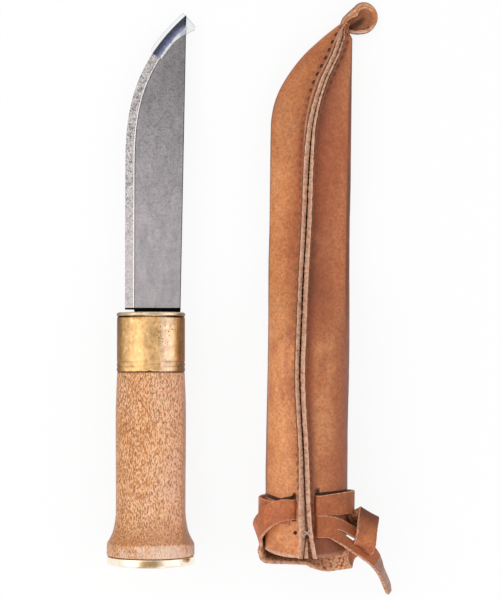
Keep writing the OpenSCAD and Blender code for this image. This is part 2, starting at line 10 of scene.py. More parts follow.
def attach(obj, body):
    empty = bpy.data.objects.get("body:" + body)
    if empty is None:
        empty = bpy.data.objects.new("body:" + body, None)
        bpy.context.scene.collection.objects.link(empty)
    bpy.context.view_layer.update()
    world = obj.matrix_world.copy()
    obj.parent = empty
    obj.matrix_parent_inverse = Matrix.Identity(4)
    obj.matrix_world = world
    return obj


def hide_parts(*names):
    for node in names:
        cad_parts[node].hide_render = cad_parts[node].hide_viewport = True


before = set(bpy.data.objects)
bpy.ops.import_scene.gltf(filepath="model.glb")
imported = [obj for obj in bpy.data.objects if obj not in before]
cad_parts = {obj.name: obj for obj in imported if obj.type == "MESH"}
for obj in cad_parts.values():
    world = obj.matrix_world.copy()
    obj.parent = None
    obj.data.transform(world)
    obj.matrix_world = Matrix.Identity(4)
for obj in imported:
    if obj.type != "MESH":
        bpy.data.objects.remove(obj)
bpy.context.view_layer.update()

MM = 0.001

# Sizes repeated from the part's source, in millimetres
BLADE_LENGTH = 127.3
EDGE_OFFSET = 11.1
SPINE_OFFSET = 12.5
SPINE_RISE = 2.4
BELLY_LENGTH = 70
BLADE_THICKNESS = 3.0
POINT_THICKNESS = 1.6
BEVEL_WIDTH = 4.0
EDGE_THICKNESS = 0.2
HEEL_LENGTH = 1.2
STUB_D = 5.4
PEEN_D = 7.4
PEEN_DEPTH = 1.4
ROUNDNESS = 0.77
GRIP_LENGTH = 77.6
GRIP_WIDTH = 29.8
BUTT_WIDTH = 37.2
FLARE_LENGTH = 14
WAIST = 0.12
SWELL_LENGTH = 16
LIP_LENGTH = 4.6
FERRULE_LENGTH = 25.3
FERRULE_WIDTH = 28.9
FERRULE_WALL = 0.9
PLATE_THICKNESS = 1.9
CAP_THICKNESS = 3.6
GUARD_LENGTH = 16.6
GUARD_REACH = 4.6
GUARD_RIM = 1.3
GUARD_CLEARANCE = 0.3
LEATHER = 1.6
SLIT_WIDTH = 2.2
LACE_HOLE_D = 1.4
POCKET_CLEARANCE = 0.75
GRIP_IN_SHEATH = 65.4
TIP_MARGIN = 9
SWEEP_LENGTH = 46
BLADE_PART_HEIGHT = 12
FLANGE_HEIGHT = 4.4
SEAM_GAP = 0.7
MOUTH_SPREAD = 2.4
MOUTH_CUT = 2.6
STITCH_PITCH = 3.5
THREAD_D = 0.8
EAR_WIDTH = 15.2
EAR_HEIGHT = 5.8
STRAP_WIDTH = 9.2
STRAP = 1.7
STRAP_CLEARANCE = 0.3
BEAD_OUT = 0.15
BEAD_FROM = 0.5
BAND_AT = 22.9
KNIFE_AT = (-42.32, -5.83)
SHEATH_AT = (23.28, -108.53)
SHEATH_TURN = math.radians(-0.8)

OVAL_A = FERRULE_WIDTH / 2
OVAL_B = OVAL_A * ROUNDNESS
END_R = 0.86 * OVAL_B
SIDE_R = (OVAL_A ** 2 + OVAL_B ** 2 - 2 * OVAL_A * END_R) / (2 * (OVAL_B - END_R))
END_C = OVAL_A - END_R
SIDE_C = SIDE_R - OVAL_B
JOIN = math.atan2(SIDE_C, END_C)

TIP_OFFSET = SPINE_OFFSET + SPINE_RISE
BLADE_WIDTH = EDGE_OFFSET + TIP_OFFSET
GRIP_OUT = (GRIP_WIDTH - FERRULE_WIDTH) / 2
BUTT_OUT = (BUTT_WIDTH - FERRULE_WIDTH) / 2
WOOD_END = FERRULE_LENGTH + GRIP_LENGTH
LIP_AT = WOOD_END - LIP_LENGTH
BUTT_END = WOOD_END + CAP_THICKNESS
SHEATH_WIDTH = GRIP_WIDTH + 2 * (POCKET_CLEARANCE + LEATHER)
MOUTH_HEIGHT = 2 * (OVAL_B + GRIP_OUT + POCKET_CLEARANCE + LEATHER)
HALF_W = SHEATH_WIDTH / 2
FERRULE_FRONT = FERRULE_LENGTH + GRIP_IN_SHEATH
POINT_AT = FERRULE_FRONT + BLADE_LENGTH
TIP_AT = POINT_AT + TIP_MARGIN
TIP_X = HALF_W - 4.7
POCKET_END = TIP_AT - 7
SHOULDER_END = FERRULE_FRONT + 28
FILLET = FLANGE_HEIGHT / 2
SLIT_OUT = SEAM_GAP / 2 + LEATHER / 2 + FILLET + 0.9
UNDER_STRAP = (STRAP + STRAP_CLEARANCE) / (1 - (BAND_AT + STRAP_WIDTH / 2 + 1) / POCKET_END)
SHEATH_TILT = math.asin(UNDER_STRAP / POCKET_END)
KNIFE_TILT = math.atan((BUTT_OUT - BEAD_OUT) / (LIP_AT - BEAD_FROM))


def rigid(at, turn, tilt):
    """Where a frame of the source lies, as a matrix in metres."""
    return (Matrix.Translation(Vector(at) * MM) @ Matrix.Rotation(turn, 4, "Z")
            @ Matrix.Rotation(-tilt, 4, "X"))


KNIFE_HEIGHT = (OVAL_B + BEAD_OUT) * math.cos(KNIFE_TILT) - BEAD_FROM * math.sin(KNIFE_TILT)
KNIFE = rigid((*KNIFE_AT, KNIFE_HEIGHT), 0, KNIFE_TILT)
SHEATH = rigid((*SHEATH_AT, UNDER_STRAP), SHEATH_TURN, SHEATH_TILT)


def curve(table, at):
    """Value of a smooth curve through a table of (position, value) pairs."""
    last = len(table) - 1

    def slope(k):
        a, b = max(k - 1, 0), min(k + 1, last)
        return (table[b][1] - table[a][1]) / (table[b][0] - table[a][0])

    i = 0
    while i < last - 1 and at >= table[i + 1][0]:
        i += 1
    (p, v), (q, w) = table[i], table[i + 1]
    s = min(max((at - p) / (q - p), 0), 1)
    rise = s * (1 - s) ** 2 * slope(i) - s * s * (1 - s) * slope(i + 1)
    return (1 + 2 * s) * (1 - s) ** 2 * v + s * s * (3 - 2 * s) * w + (q - p) * rise


def clamp(v, low=0.0, high=1.0):
    return min(max(v, low), high)


def wobble(x, y=0.0, z=0.0):
    """Smooth noise from about -1 to 1."""
    return noise.noise(Vector((x, y, z)))


def spread(start, stop, count):
    return [start + (stop - start) * i / (count - 1) for i in range(count)]


def circle(r, sides):
    return [(r * math.cos(a), r * math.sin(a)) for a in spread(0, 2 * math.pi, sides + 1)[:-1]]


def tangent(points, i):
    """Direction of a line of points at one of them."""
    t = Vector(points[min(i + 1, len(points) - 1)]) - Vector(points[max(i - 1, 0)])
    t.normalize()
    return t


# Materials

# How far behind the ferrule's front its two turned grooves lie, and the middle of its patch of pits
GROOVES = (21.05, 23.15)
PITS_AT = (6.0, -7.0)
# Where in each stitch's length its hole lies, as a share
HOLE_PHASE = 0.29


def rgb(code):
    """Linear colour of an sRGB hex code."""
    parts = [int(code[i:i + 2], 16) / 255 for i in (1, 3, 5)]
    return (*[p / 12.92 if p <= 0.04045 else ((p + 0.055) / 1.055) ** 2.4 for p in parts], 1.0)


class Field:
    """A node's output that can be computed with: each operation adds a math node."""

    def __init__(self, nodes, socket):
        self.nodes = nodes
        self.socket = socket

    def __add__(self, other):
        return self.nodes.math("ADD", self, other)

    def __sub__(self, other):
        return self.nodes.math("SUBTRACT", self, other)

    def __rsub__(self, other):
        return self.nodes.math("SUBTRACT", other, self)

    def __mul__(self, other):
        return self.nodes.math("MULTIPLY", self, other)

    def __abs__(self):
        return self.nodes.math("ABSOLUTE", self)

    def most(self, other):
        return self.nodes.math("MAXIMUM", self, other)

    def range(self, low, high, to_low=0.0, to_high=1.0, kind="SMOOTHSTEP"):
        """This value, eased from low and high to to_low and to_high."""
        node = self.nodes.add("MapRange", {"interpolation_type": kind}, Value=self, From_Min=low,
                              From_Max=high, To_Min=to_low, To_Max=to_high)
        return Field(self.nodes, node.outputs[0])

    def line(self, low, high, to_low=0.0, to_high=1.0):
        return self.range(low, high, to_low, to_high, "LINEAR")


class Nodes:
    """A node tree under construction."""

    def __init__(self, tree):
        self.tree = tree

    def feed(self, socket, value):
        if isinstance(value, Field):
            value = value.socket
        if isinstance(value, bpy.types.NodeSocket):
            self.tree.links.new(value, socket)
        else:
            socket.default_value = value

    def add(self, kind, settings=None, **inputs):
        node = self.tree.nodes.new("ShaderNode" + kind)
        for key, value in (settings or {}).items():
            setattr(node, key, value)
        for key, value in inputs.items():
            self.feed(node.inputs[key.replace("_", " ")], value)
        return node

    def call(self, kind, *values, **settings):
        """First output of a node whose inputs are fed in their order."""
        node = self.add(kind, settings)
        for socket, value in zip(node.inputs, values):
            self.feed(socket, value)
        return Field(self, node.outputs[0])

    def math(self, operation, *values):
        return self.call("Math", *values, operation=operation)


class Look(Nodes):
    """A material under construction: a Principled shader and the nodes that feed it."""

    def __init__(self, name, **fixed):
        self.material = bpy.data.materials.new(name)
        self.material.use_nodes = True
        super().__init__(self.material.node_tree)
        self.shader = self.tree.nodes["Principled BSDF"]
        self.set(**fixed)
        place = self.add("TexCoord").outputs["Object"]
        self.mm = self.add("VectorMath", {"operation": "SCALE"}, Vector=place, Scale=1 / MM).outputs[0]

    def set(self, **inputs):
        for key, value in inputs.items():
            self.feed(self.shader.inputs[key.replace("_", " ")], value)

    def axis(self, name):
        return Field(self, self.add("SeparateXYZ", Vector=self.mm).outputs[name])

    def value(self, name):
        """A per-vertex value that the mesh carries."""
        return Field(self, self.add("Attribute", {"attribute_name": name}).outputs["Fac"])

    def noise(self, stretch, detail=4.0, roughness=0.55, warp=0.0):
        """Noise whose grain is stretch = cells per millimetre along x, y and z."""
        place = self.call("VectorMath", self.mm, stretch, operation="MULTIPLY")
        node = self.add("TexNoise", Vector=place, Scale=1.0, Detail=detail, Roughness=roughness,
                        Distortion=warp)
        return Field(self, node.outputs["Fac"])

    def cells(self, scale, feature="F1"):
        node = self.add("TexVoronoi", {"feature": feature}, Vector=self.mm, Scale=scale)
        return Field(self, node.outputs["Distance"])

    def ramp(self, value, *stops):
        node = self.add("ValToRGB", Fac=value)
        points = node.color_ramp.elements
        while len(points) < len(stops):
            points.new(1.0)
        for point, (at, colour) in zip(points, stops):
            point.position = at
            point.color = rgb(colour)
        return node.outputs["Color"]

    def mix(self, share, a, b, blend="MIX"):
        """The colours a and b mixed, by the sockets that a Mix node has for colours."""
        factor, first, second, result = 0, 6, 7, 2
        node = self.add("Mix", {"data_type": "RGBA", "blend_type": blend})
        for k, value in ((factor, share), (first, a), (second, b)):
            self.feed(node.inputs[k], rgb(value) if isinstance(value, str) else value)
        return node.outputs[result]

    def shade(self, colour, factor):
        """The colour times a factor that varies over the surface."""
        grey = self.add("CombineColor", Red=factor, Green=factor, Blue=factor).outputs[0]
        return self.mix(1.0, colour, grey, "MULTIPLY")

    def bump(self, height, distance, strength=1.0):
        node = self.add("Bump", Height=height, Distance=distance * MM, Strength=strength)
        self.set(Normal=node.outputs["Normal"])


def steel_look(name, base, grit, flecks, darkest, rough):
    """Old carbon steel: darker and more pitted toward the point, cleaner near the ferrule."""
    look = Look(name, Metallic=1.0)
    y = look.axis("Y")
    cloud = look.noise((0.3, 0.16, 0.3), 4.0, 0.6)
    brush = look.noise((0.12, 4.0, 0.12), 3.0, 0.7)
    speck = look.noise((0.7, 0.55, 0.7), 3.0, 0.75)
    fine = look.noise((1.5, 1.3, 1.5), 2.0, 0.6)
    worn_and_shaded = y.range(15.0, 70.0, 0.45, 1.0)
    tone = y.range(25.0, 115.0, 1.0, darkest)
    tone *= cloud.line(0.3, 0.7, 0.9, 1.1)
    tone *= brush.line(0.3, 0.7, 0.93, 1.07)
    grain = (speck * 0.6 + fine * 0.4).line(0.4, 0.6, -grit, grit) * worn_and_shaded
    tone *= grain + 1.0
    pits = speck.range(0.55, 0.64, 0.0, flecks) * worn_and_shaded
    tone *= 1.0 - pits
    look.set(Base_Color=look.shade(rgb(base), tone))
    look.set(Roughness=cloud.line(0.25, 0.75, rough - 0.05, rough + 0.07))
    look.bump(brush + speck * 0.5, 0.02, 0.35)
    return look.material


def brass_look(name, base, dark, rough, tarnish_and_shade, wear_and_shade, shade_from, shade_to):
    """Brass with painted shade between two distances from its middle, blotches, a patch of pits and a painted
    highlight.
    """
    look = Look(name, Metallic=1.0)
    x, y = look.axis("X"), look.axis("Y")
    cloud = look.noise((0.16, 0.12, 0.16), 5.0, 0.6)
    grain = look.noise((0.7, 0.5, 0.7), 4.0, 0.65)
    # Painted shade toward the sides, or on the cap a painted dark reflection in its middle, broken up by
    # clouds; the stains are real tarnish
    side = abs(x).range(shade_from, shade_to) * cloud.range(0.2, 0.6, 0.75, 1.0)
    side *= y.range(1 - WOOD_END, -WOOD_END, 1.0, 0.45) * y.range(-WOOD_END - 1.2, -WOOD_END - 1.9, 1.0, 3.0)
    stain = (cloud * y.range(-8.0, -3.0, 0.9, 1.12)).range(0.57, 0.66)
    stain_and_shade = (side * tarnish_and_shade).most(stain * (0.5 * tarnish_and_shade))
    # A painted highlight: a pale pink tint on the band where the right lamp shows
    band = x.range(3.4, 5.6) * x.range(10.6, 9.2)
    colour = look.mix(stain_and_shade, look.mix(band * 0.45, base, "#f6dcc8"), dark)
    away = abs(x - PITS_AT[0]) + abs(y - PITS_AT[1])
    holes = look.cells(0.75).range(0.16, 0.26, 1.0, 0.0) * away.range(4.0, 11.0, 1.0, 0.15)
    colour = look.mix(holes * wear_and_shade, colour, "#5a4026")
    # Painted shade in the groove behind the plate and in the two turned grooves, stronger toward the sides
    ends = abs(x).range(3.0, 11.0, 0.35, 1.0)
    dark_lines = [(PLATE_THICKNESS + 0.1, 0.7, 0.85)] + [(groove, 0.3, 0.3) for groove in GROOVES]
    for line, wide, strength in dark_lines:
        shade_amount = abs(y + line).range(0.4 * wide, wide, strength, 0.0)
        colour = look.mix(shade_amount * ends, colour, "#5a3c20")
    blotch = look.noise((0.3, 0.22, 0.3), 3.0, 0.6, 0.5)
    colour = look.shade(colour, blotch.line(0.3, 0.7, 1 - 0.32 * wear_and_shade, 1 + 0.32 * wear_and_shade))
    look.set(Base_Color=look.shade(colour, grain.line(0.3, 0.7, 1 - 0.3 * wear_and_shade, 1 + 0.3 * wear_and_shade)))
    look.set(Roughness=stain_and_shade * 0.15 + grain.range(0.3, 0.7, rough, rough + 0.1))
    look.bump(grain - holes * (2.0 * wear_and_shade), 0.04, 0.3)
    return look.material


def birch_look():
    """Pale birch: fine grain along the grip, short dark flecks, painted shade on the neck and a painted
    highlight on the lip.
    """
    look = Look("birch", Specular_IOR_Level=0.4, Coat_Weight=0.12, Coat_Roughness=0.3)
    x, y = look.axis("X"), look.axis("Y")
    figure = look.noise((0.09, 0.035, 0.09), 4.0, 0.55, 0.6)
    grain = look.noise((1.9, 0.16, 1.9), 4.0, 0.6)
    fleck = look.noise((2.3, 0.66, 2.3), 2.0, 0.5)
    dots = look.noise((2.1, 1.0, 2.1), 2.0, 0.5)
    colour = look.ramp(figure, (0.3, "#f4a966"), (0.5, "#fbbd88"), (0.7, "#fcc8a2"))
    colour = look.mix(x.range(0.0, 13.0, 0.0, 0.5), colour, "#f8bfa2")
    colour = look.shade(colour, grain.line(0.3, 0.7, 0.81, 1.28))
    dense = x.line(-13.0, 12.0, 0.03, -0.03)
    where = fleck + dense
    colour = look.mix(where.range(0.46, 0.58, 0.0, 0.8), colour, "#aa642f")
    colour = look.mix(where.range(0.47, 0.36, 0.0, 0.4), colour, "#fbd6ae")
    colour = look.mix((dots + dense).range(0.58, 0.68, 0.0, 0.8), colour, "#633a20")
    # Painted shade on the neck, where the flare turns away from the light
    neck = y.range(13.3 - LIP_AT, 3.3 - LIP_AT) * y.range(-0.3 - LIP_AT, 0.9 - LIP_AT)
    colour = look.mix(neck * 0.4, colour, "#b8703a")
    # A painted highlight on the butt's lip
    lip = y.range(0.7 - LIP_AT, -0.5 - LIP_AT)
    colour = look.mix(lip * figure.range(0.4, 0.6, 0.15, 0.6), colour, "#f6d9c6")
    # Painted shade along the grip's sides, stronger on the right, kept off the lip
    far = abs(x) - lip * 3.6
    edge = far.range(12.4, 14.9) * x.range(-1.0, 1.0, 0.15, 0.5)
    colour = look.mix(edge, colour, "#9c7058")
    # A painted shadow on the wood just behind the ferrule's end
    colour = look.mix(y.range(-FERRULE_LENGTH - 0.9, -FERRULE_LENGTH - 0.3, 0.0, 0.7), colour, "#4a2a16")
    look.set(Base_Color=colour, Roughness=grain.range(0.3, 0.7, 0.42, 0.55))
    look.bump(grain - where.range(0.5, 0.6), 0.05, 0.3)
    return look.material


def leather_look(name, stops, rough, grain_depth):
    """Tanned leather of the straps: cloudy colour, with painted light on the sheath's left side and on the
    knot's fold.
    """
    look = Look(name, Specular_IOR_Level=0.3)
    x, y = look.axis("X"), look.axis("Y")
    cloud = look.noise((0.09, 0.07, 0.09), 5.0, 0.6, 0.4)
    # Painted light: paler on the sheath's left, darker to its right
    colour = look.shade(look.ramp(cloud, *stops), x.line(-18.0, 18.0, 1.2, 0.86))
    # A painted highlight on the knot's fold
    knot = x.range(19.0, 23.0) * y.range(-6.0, 2.0)
    colour = look.shade(colour, knot.range(0.0, 1.0, 1.0, 1.18))
    # Painted shade where the mesh carries it
    colour = look.mix(look.value("grime"), colour, "#2c1810")
    dress_leather(look, colour, rough, grain_depth)
    return look.material


def dress_leather(look, colour, rough, grain_depth):
    """Grain, blotches and lengthwise scratches over a leather's ground colour."""
    pebble = look.cells(1.3, "SMOOTH_F1")
    blotch = look.noise((0.4, 0.3, 0.4), 4.0, 0.65, 0.3)
    fine = look.noise((0.95, 0.85, 0.95), 4.0, 0.75)
    scratch = look.noise((1.1, 0.14, 1.1), 4.0, 0.65)
    colour = look.shade(colour, blotch.line(0.3, 0.7, 0.87, 1.13))
    colour = look.mix(fine.range(0.54, 0.34, 0.0, 0.26), colour, "#94492a")
    colour = look.shade(colour, fine.line(0.4, 0.7, 0.95, 1.26))
    colour = look.mix(scratch.range(0.6, 0.74, 0.0, 0.28), colour, "#8e4a26")
    look.set(Base_Color=colour, Roughness=fine.range(0.3, 0.7, rough - 0.06, rough + 0.08))
    look.bump(pebble * 0.6 + (fine - scratch * 0.6), grain_depth, 0.6)


# The leather's colours, as painted light and shade, from the sheath's left edge over the seam, halfway, to
# its right edge
# A lit left panel, painted shadow right of the seam, darker edges, and on the grip part a painted highlight
# on the right panel
BLADE_PART = (
    (0.0, "#7e4e34"), (0.025, "#d68a54"), (0.2, "#d68a54"), (0.38, "#c47a4e"), (0.49, "#ac6742"),
    (0.52, "#854832"), (0.62, "#965539"), (0.75, "#ac6543"), (0.9, "#c0764c"), (0.945, "#b87048"),
    (0.965, "#754838"), (1.0, "#754838"),
)
GRIP_PART = (
    (0.0, "#7e4e34"), (0.025, "#e89d68"), (0.44, "#e89d68"), (0.49, "#c47a4e"), (0.52, "#854832"),
    (0.58, "#965539"), (0.66, "#cc875a"), (0.78, "#cc875a"), (0.86, "#b57048"), (0.95, "#a35f44"),
    (0.975, "#8a5a45"), (1.0, "#754838"),
)


def sheath_look():
    """The sheath's grain side with painted light and shade: across it, on its edges, in its stitch holes and
    along the straps.
    """
    look = Look("sheath_grain", Specular_IOR_Level=0.3)
    side, along, slot = look.value("side"), look.value("along"), look.value("slot")
    place = side.line(-1.0, 1.0)
    cloud = look.noise((0.06, 0.03, 0.06), 5.0, 0.6, 0.4)
    colour = look.mix(along.range(85.0, 112.0), look.ramp(place, *GRIP_PART), look.ramp(place, *BLADE_PART))
    colour = look.mix(cloud.range(0.46, 0.64, 0.0, 0.55), colour, "#a85a38")
    # Pale clouds as painted light: full on the left panel, under a third of that on the right
    light = cloud.range(0.46, 0.34, 0.0, 0.4) * side.range(0.1, -0.1, 0.3, 1.0)
    colour = look.mix(light, colour, "#e0a270")
    colour = look.mix(along.range(150.0, 190.0, 0.0, 0.4) * side.range(0.0, -0.1), colour, "#a35c36")
    # Painted shade on the right panel near the mouth
    mouth = along.range(17.0, 12.0) * side.range(0.04, 0.12)
    colour = look.mix(mouth, colour, "#8f5338")
    # Painted highlights on the mouth's rounded edge and along the left flange's foot near the tip; the mesh's
    # pale marks add wear and painted highlights
    rim = along.range(2.2, 0.7) * side.range(0.05, -0.05, 0.25, 0.7)
    ridge = abs(slot - 1.2).range(0.12, 0.4, 1.0, 0.0) * along.range(165.0, 185.0, 0.0, 0.6)
    ridge *= side.range(0.0, -0.02)
    colour = look.mix(rim.most(ridge.most(look.value("pale"))), colour, "#ecc0a0")
    # Painted shade in the stitch holes, stronger near the tip and near the mouth
    beat = look.math("FRACT", look.math("DIVIDE", along, STITCH_PITCH))
    hole = abs(beat - HOLE_PHASE).range(0.16, 0.3, 1.0, 0.0) * abs(slot).range(0.35, 0.75, 1.0, 0.0)
    hole *= side.range(0.0, 0.02, 1.0, 0.5)
    hole *= along.range(186.0, 204.0, 0.3, 0.95).most(along.range(55.0, 36.0, 0.0, 0.7))
    # Painted shadows on the sheath along the straps' upper edges, left and right of the seam
    x, y, top = look.axis("X"), look.axis("Y"), look.axis("Z").range(9.0, 12.0)
    above = y - (abs(x + 11.0) * 0.26 + 23.85)
    left = abs(above).range(0.65, 1.0, 1.0, 0.0) * x.range(-4.4, -4.8) * top
    above = y - (x * 0.085 + 26.3)
    right = abs(above).range(0.5, 1.0, 1.0, 0.0) * x.range(3.0, 3.6) * top
    shade_amount = left.most(right).most(look.value("grime"))
    colour = look.mix(hole.most(shade_amount * 0.95), colour, "#1a0905")
    dress_leather(look, colour, 0.5, 0.09)
    return look.material


def cut_look(name, pale, dark):
    """A cut edge of leather: open, fibrous and matt."""
    look = Look(name, Specular_IOR_Level=0.15, Roughness=0.85)
    fibre = look.noise((0.8, 0.8, 0.8), 6.0, 0.7, 0.5)
    speck = look.noise((1.3, 1.3, 1.3), 3.0, 0.6)
    colour = look.mix(fibre.range(0.38, 0.66), pale, dark)
    colour = look.mix(speck.range(0.57, 0.68, 0.0, 0.45), colour, "#6a3c28")
    # The mesh's pale marks: wear on the flanges' corners, painted highlights on the ear's lip and the inner
    # fold
    colour = look.mix(look.value("pale"), colour, "#fac9b0")
    # Painted shade where the mesh carries it
    look.set(Base_Color=look.mix(look.value("grime"), colour, "#2c1008"))
    look.bump(fibre + speck, 0.2, 0.6)
    return look.material


def flesh_look():
    """The flesh side of leather: a coarse, open nap."""
    look = Look("leather_flesh_side", Specular_IOR_Level=0.12, Roughness=0.9)
    fibre = look.noise((1.2, 1.2, 1.2), 5.0, 0.65)
    nap = look.cells(0.8) + fibre.line(0.3, 0.7, -0.2, 0.2)
    colour = look.ramp(nap, (0.3, "#ffd2aa"), (0.5, "#ffc096"), (0.66, "#e69062"), (0.85, "#a85a36"))
    # Painted shade where the mesh carries it
    look.set(Base_Color=look.mix(look.value("grime"), colour, "#2a110a"))
    look.bump(1.0 - nap, 0.25, 0.6)
    return look.material


def thread_look(name, dark, mid, pale):
    look = Look(name, Specular_IOR_Level=0.2, Roughness=0.8)
    ply = look.noise((3.0, 3.0, 3.0), 4.0, 0.6)
    look.set(Base_Color=look.ramp(ply, (0.3, dark), (0.6, mid), (0.8, pale)))
    look.bump(ply, 0.1, 0.6)
    return look.material


def plastic_look():
    """Clear film with a painted reflection: dark blue over the steel, lavender and a white highlight to its
    hem, nearly nothing beyond.
    """
    look = Look("clear_plastic", Roughness=0.12, IOR=1.45)
    x, y, rim = look.axis("X"), look.axis("Y"), look.value("rim")
    up = y.line(BLADE_LENGTH - BELLY_LENGTH, BLADE_LENGTH)
    edge = look.math("POWER", up, 3.0) * BLADE_WIDTH - EDGE_OFFSET
    deep = (x - edge) * y.line(110.0, BLADE_LENGTH, 0.8, 0.67)
    inside = y * (SPINE_RISE / BLADE_LENGTH) + SPINE_OFFSET - x
    over = deep.range(-0.12, 0.1) * inside.range(-0.1, 0.12)
    cloud = look.noise((0.5, 0.5, 0.5), 3.0)
    share = (deep + cloud.line(0.3, 0.7, -0.35, 0.35)).line(0.0, GUARD_REACH)
    # Painted reflection: dark blue at the edge, paling through lavender to a painted white highlight at the
    # hem
    painted_reflection = look.ramp(share, (0.0, "#0d1022"), (0.2, "#1c2140"), (0.42, "#3c4168"), (0.6, "#7479a0"),
                     (0.76, "#a3a6c0"), (0.84, "#ffffff"), (1.0, "#ffffff"))
    # A painted highlight on the facet near the spine, and a dark painted reflection at the point
    facet = inside.range(3.4, 1.6) * y.range(121.6, 119.8)
    painted_reflection = look.mix(facet * 0.55, painted_reflection, "#a3a5bb")
    painted_reflection = look.mix(y.range(120.5, 123.5, 0.0, 0.8), painted_reflection, "#12152a")
    look.set(Base_Color=look.mix(over, "#cdd6df", painted_reflection))
    # Beyond the steel the film nearly vanishes, its rim showing as a painted reflection
    bare = rim.range(0.2, 1.0, 0.08, 0.45)
    look.set(Alpha=over * share.range(0.3, 0.85, 0.9, 0.8) + (1.0 - over) * bare)
    return look.material


def liner_look():
    look = Look("liner_plastic", Specular_IOR_Level=0.4)
    grain = look.noise((1.2, 1.2, 1.2), 4.0)
    look.set(Base_Color=look.ramp(grain, (0.3, "#2c2c2b"), (0.7, "#424140")))
    look.set(Roughness=grain.range(0.3, 0.7, 0.4, 0.55))
    look.bump(grain, 0.05, 0.4)
    return look.material


FLAT, BEVEL, SHADOW_LINE, HIGHLIGHT_LINE, HEEL_SHADOW = range(5)
# Plain flat and bevel steel, then painted shade, a painted highlight and a painted shadow at the heel
STEEL = [
    steel_look("steel_flat", "#b3adae", 0.24, 0.2, 0.6, 0.33),
    steel_look("steel_bevel", "#aaa4a3", 0.62, 0.75, 0.84, 0.38),
    steel_look("steel_shadow_line", "#5f5c5d", 0.12, 0.2, 0.8, 0.5),
    steel_look("steel_highlight_line", "#cdc7c5", 0.14, 0.2, 0.85, 0.3),
    steel_look("steel_heel_shadow", "#0d0c0c", 0.2, 0.2, 0.8, 0.6),
]
FERRULE_BRASS = brass_look("ferrule_brass", "#deb27a", "#7e5834", 0.33, 0.95, 0.85, 9.6, 13.6)
PLATE_BRASS = brass_look("plate_brass", "#d8c0a0", "#6c4c2c", 0.2, 0.8, 0.3, 10.4, 14.0)
# The cap's middle and the rim of its end face are darkened as painted reflection and painted shade
CAP_BRASS = brass_look("cap_brass", "#fcf2dd", "#b08a55", 0.16, 0.8, 0.2, 7.0, 1.5)
CAP_FACE = brass_look("cap_face_brass", "#f4e4c4", "#b08a55", 0.2, 0.14, 0.2, 12.0, 19.0)
BIRCH = birch_look()
GRAIN = sheath_look()
STRAP_GRAIN = leather_look("strap_grain", ((0.3, "#a05836"), (0.5, "#b66840"), (0.7, "#cc7e4c")), 0.5, 0.07)
STRAP_WORN = leather_look("strap_worn", ((0.3, "#a88070"), (0.5, "#bf9685"), (0.7, "#d2ad9c")), 0.6, 0.07)
CUT = cut_look("leather_cut_edge", "#f0bd9c", "#b06c4a")
# The slits' walls, painted dark as shade
SLIT_WALL_SHADE = cut_look("leather_slit_wall_shade", "#4a2818", "#2a140c")
FLESH = flesh_look()
THREAD = thread_look("thread", "#6d4630", "#a3724f", "#c9a27f")
PALE_THREAD = thread_look("pale_thread", "#a08878", "#cdb8a8", "#e6dace")
PLASTIC = plastic_look()
LINER = liner_look()


# Meshes

def loft(rings, first=True, last=True):
    """Corners and faces over closed rings of equal length; the faces run ring by ring, then the caps."""
    n = len(rings[0])
    corners = [p for ring in rings for p in ring]
    faces = []
    for i in range(len(rings) - 1):
        for j in range(n):
            k = (j + 1) % n
            faces.append((i * n + j, i * n + k, (i + 1) * n + k, (i + 1) * n + j))
    if first:
        faces.append(tuple(range(n)))
    if last:
        faces.append(tuple((len(rings) - 1) * n + j for j in range(n)))
    return corners, faces


class Shape:
    """Corners, faces, a material index for each face, and values that the corners carry."""

    def __init__(self):
        self.corners, self.faces, self.kinds, self.values = [], [], [], {}

    def join(self, corners, faces, kinds=0, **values):
        start = len(self.corners)
        self.corners += corners
        self.faces += [tuple(start + k for k in face) for face in faces]
        self.kinds += [kinds] * len(faces) if isinstance(kinds, int) else kinds
        for key in set(self.values) | set(values):
            filled = self.values.setdefault(key, [0.0] * start)
            filled += values.get(key, [0.0] * len(corners))

    def piece(self, name, body, materials, sharp=35.0, nodes=None):
        """A finished object of this shape, which takes the place of the node of its name."""
        nodes = [name] if nodes is None else nodes
        mesh = bpy.data.meshes.new(name)
        mesh.from_pydata([Vector(c) * MM for c in self.corners], [], self.faces)
        for material in materials:
            mesh.materials.append(material)
        mesh.polygons.foreach_set("material_index", self.kinds)
        for key, numbers in self.values.items():
            mesh.attributes.new(key, "FLOAT", "POINT").data.foreach_set("value", numbers)
        work = bmesh.new()
        work.from_mesh(mesh)
        bmesh.ops.recalc_face_normals(work, faces=work.faces)
        work.to_mesh(mesh)
        work.free()
        mesh.shade_smooth()
        mesh.set_sharp_from_angle(angle=math.radians(sharp))
        made = bpy.data.objects.new(name, mesh)
        bpy.context.scene.collection.objects.link(made)
        made.matrix_world = SHEATH if body == "sheath" else KNIFE
        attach(made, body)
        if nodes:
            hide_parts(*nodes)
        return made


# Knife: the grip's axis lies along y, the ferrule's front face at y = 0

def oval(a, d):
    """Point of the grip's oval whose face looks along angle a, out from the ferrule's oval by d."""
    c, s = math.cos(a), math.sin(a)
    if abs(s) < math.sin(JOIN):
        return math.copysign(END_C, c) + (END_R + d) * c, (END_R + d) * s
    return (SIDE_R + d) * c, -math.copysign(SIDE_C, s) + (SIDE_R + d) * s


# Points round the grip's oval
AROUND = 120


def oval_ring(back, d, wave=None):
    ring = []
    for j in range(AROUND):
        x, z = oval(2 * math.pi * j / AROUND, d)
        ring.append((x, -back - (wave(x, z) if wave else 0.0), z))
    return ring


def belly(y):
    t = clamp((BLADE_LENGTH - y) / BELLY_LENGTH)
    return -EDGE_OFFSET + BLADE_WIDTH * (1 - t) ** 3


def belly_slope(y):
    t = clamp((BLADE_LENGTH - y) / BELLY_LENGTH)
    return 3 * BLADE_WIDTH * (1 - t) ** 2 / BELLY_LENGTH


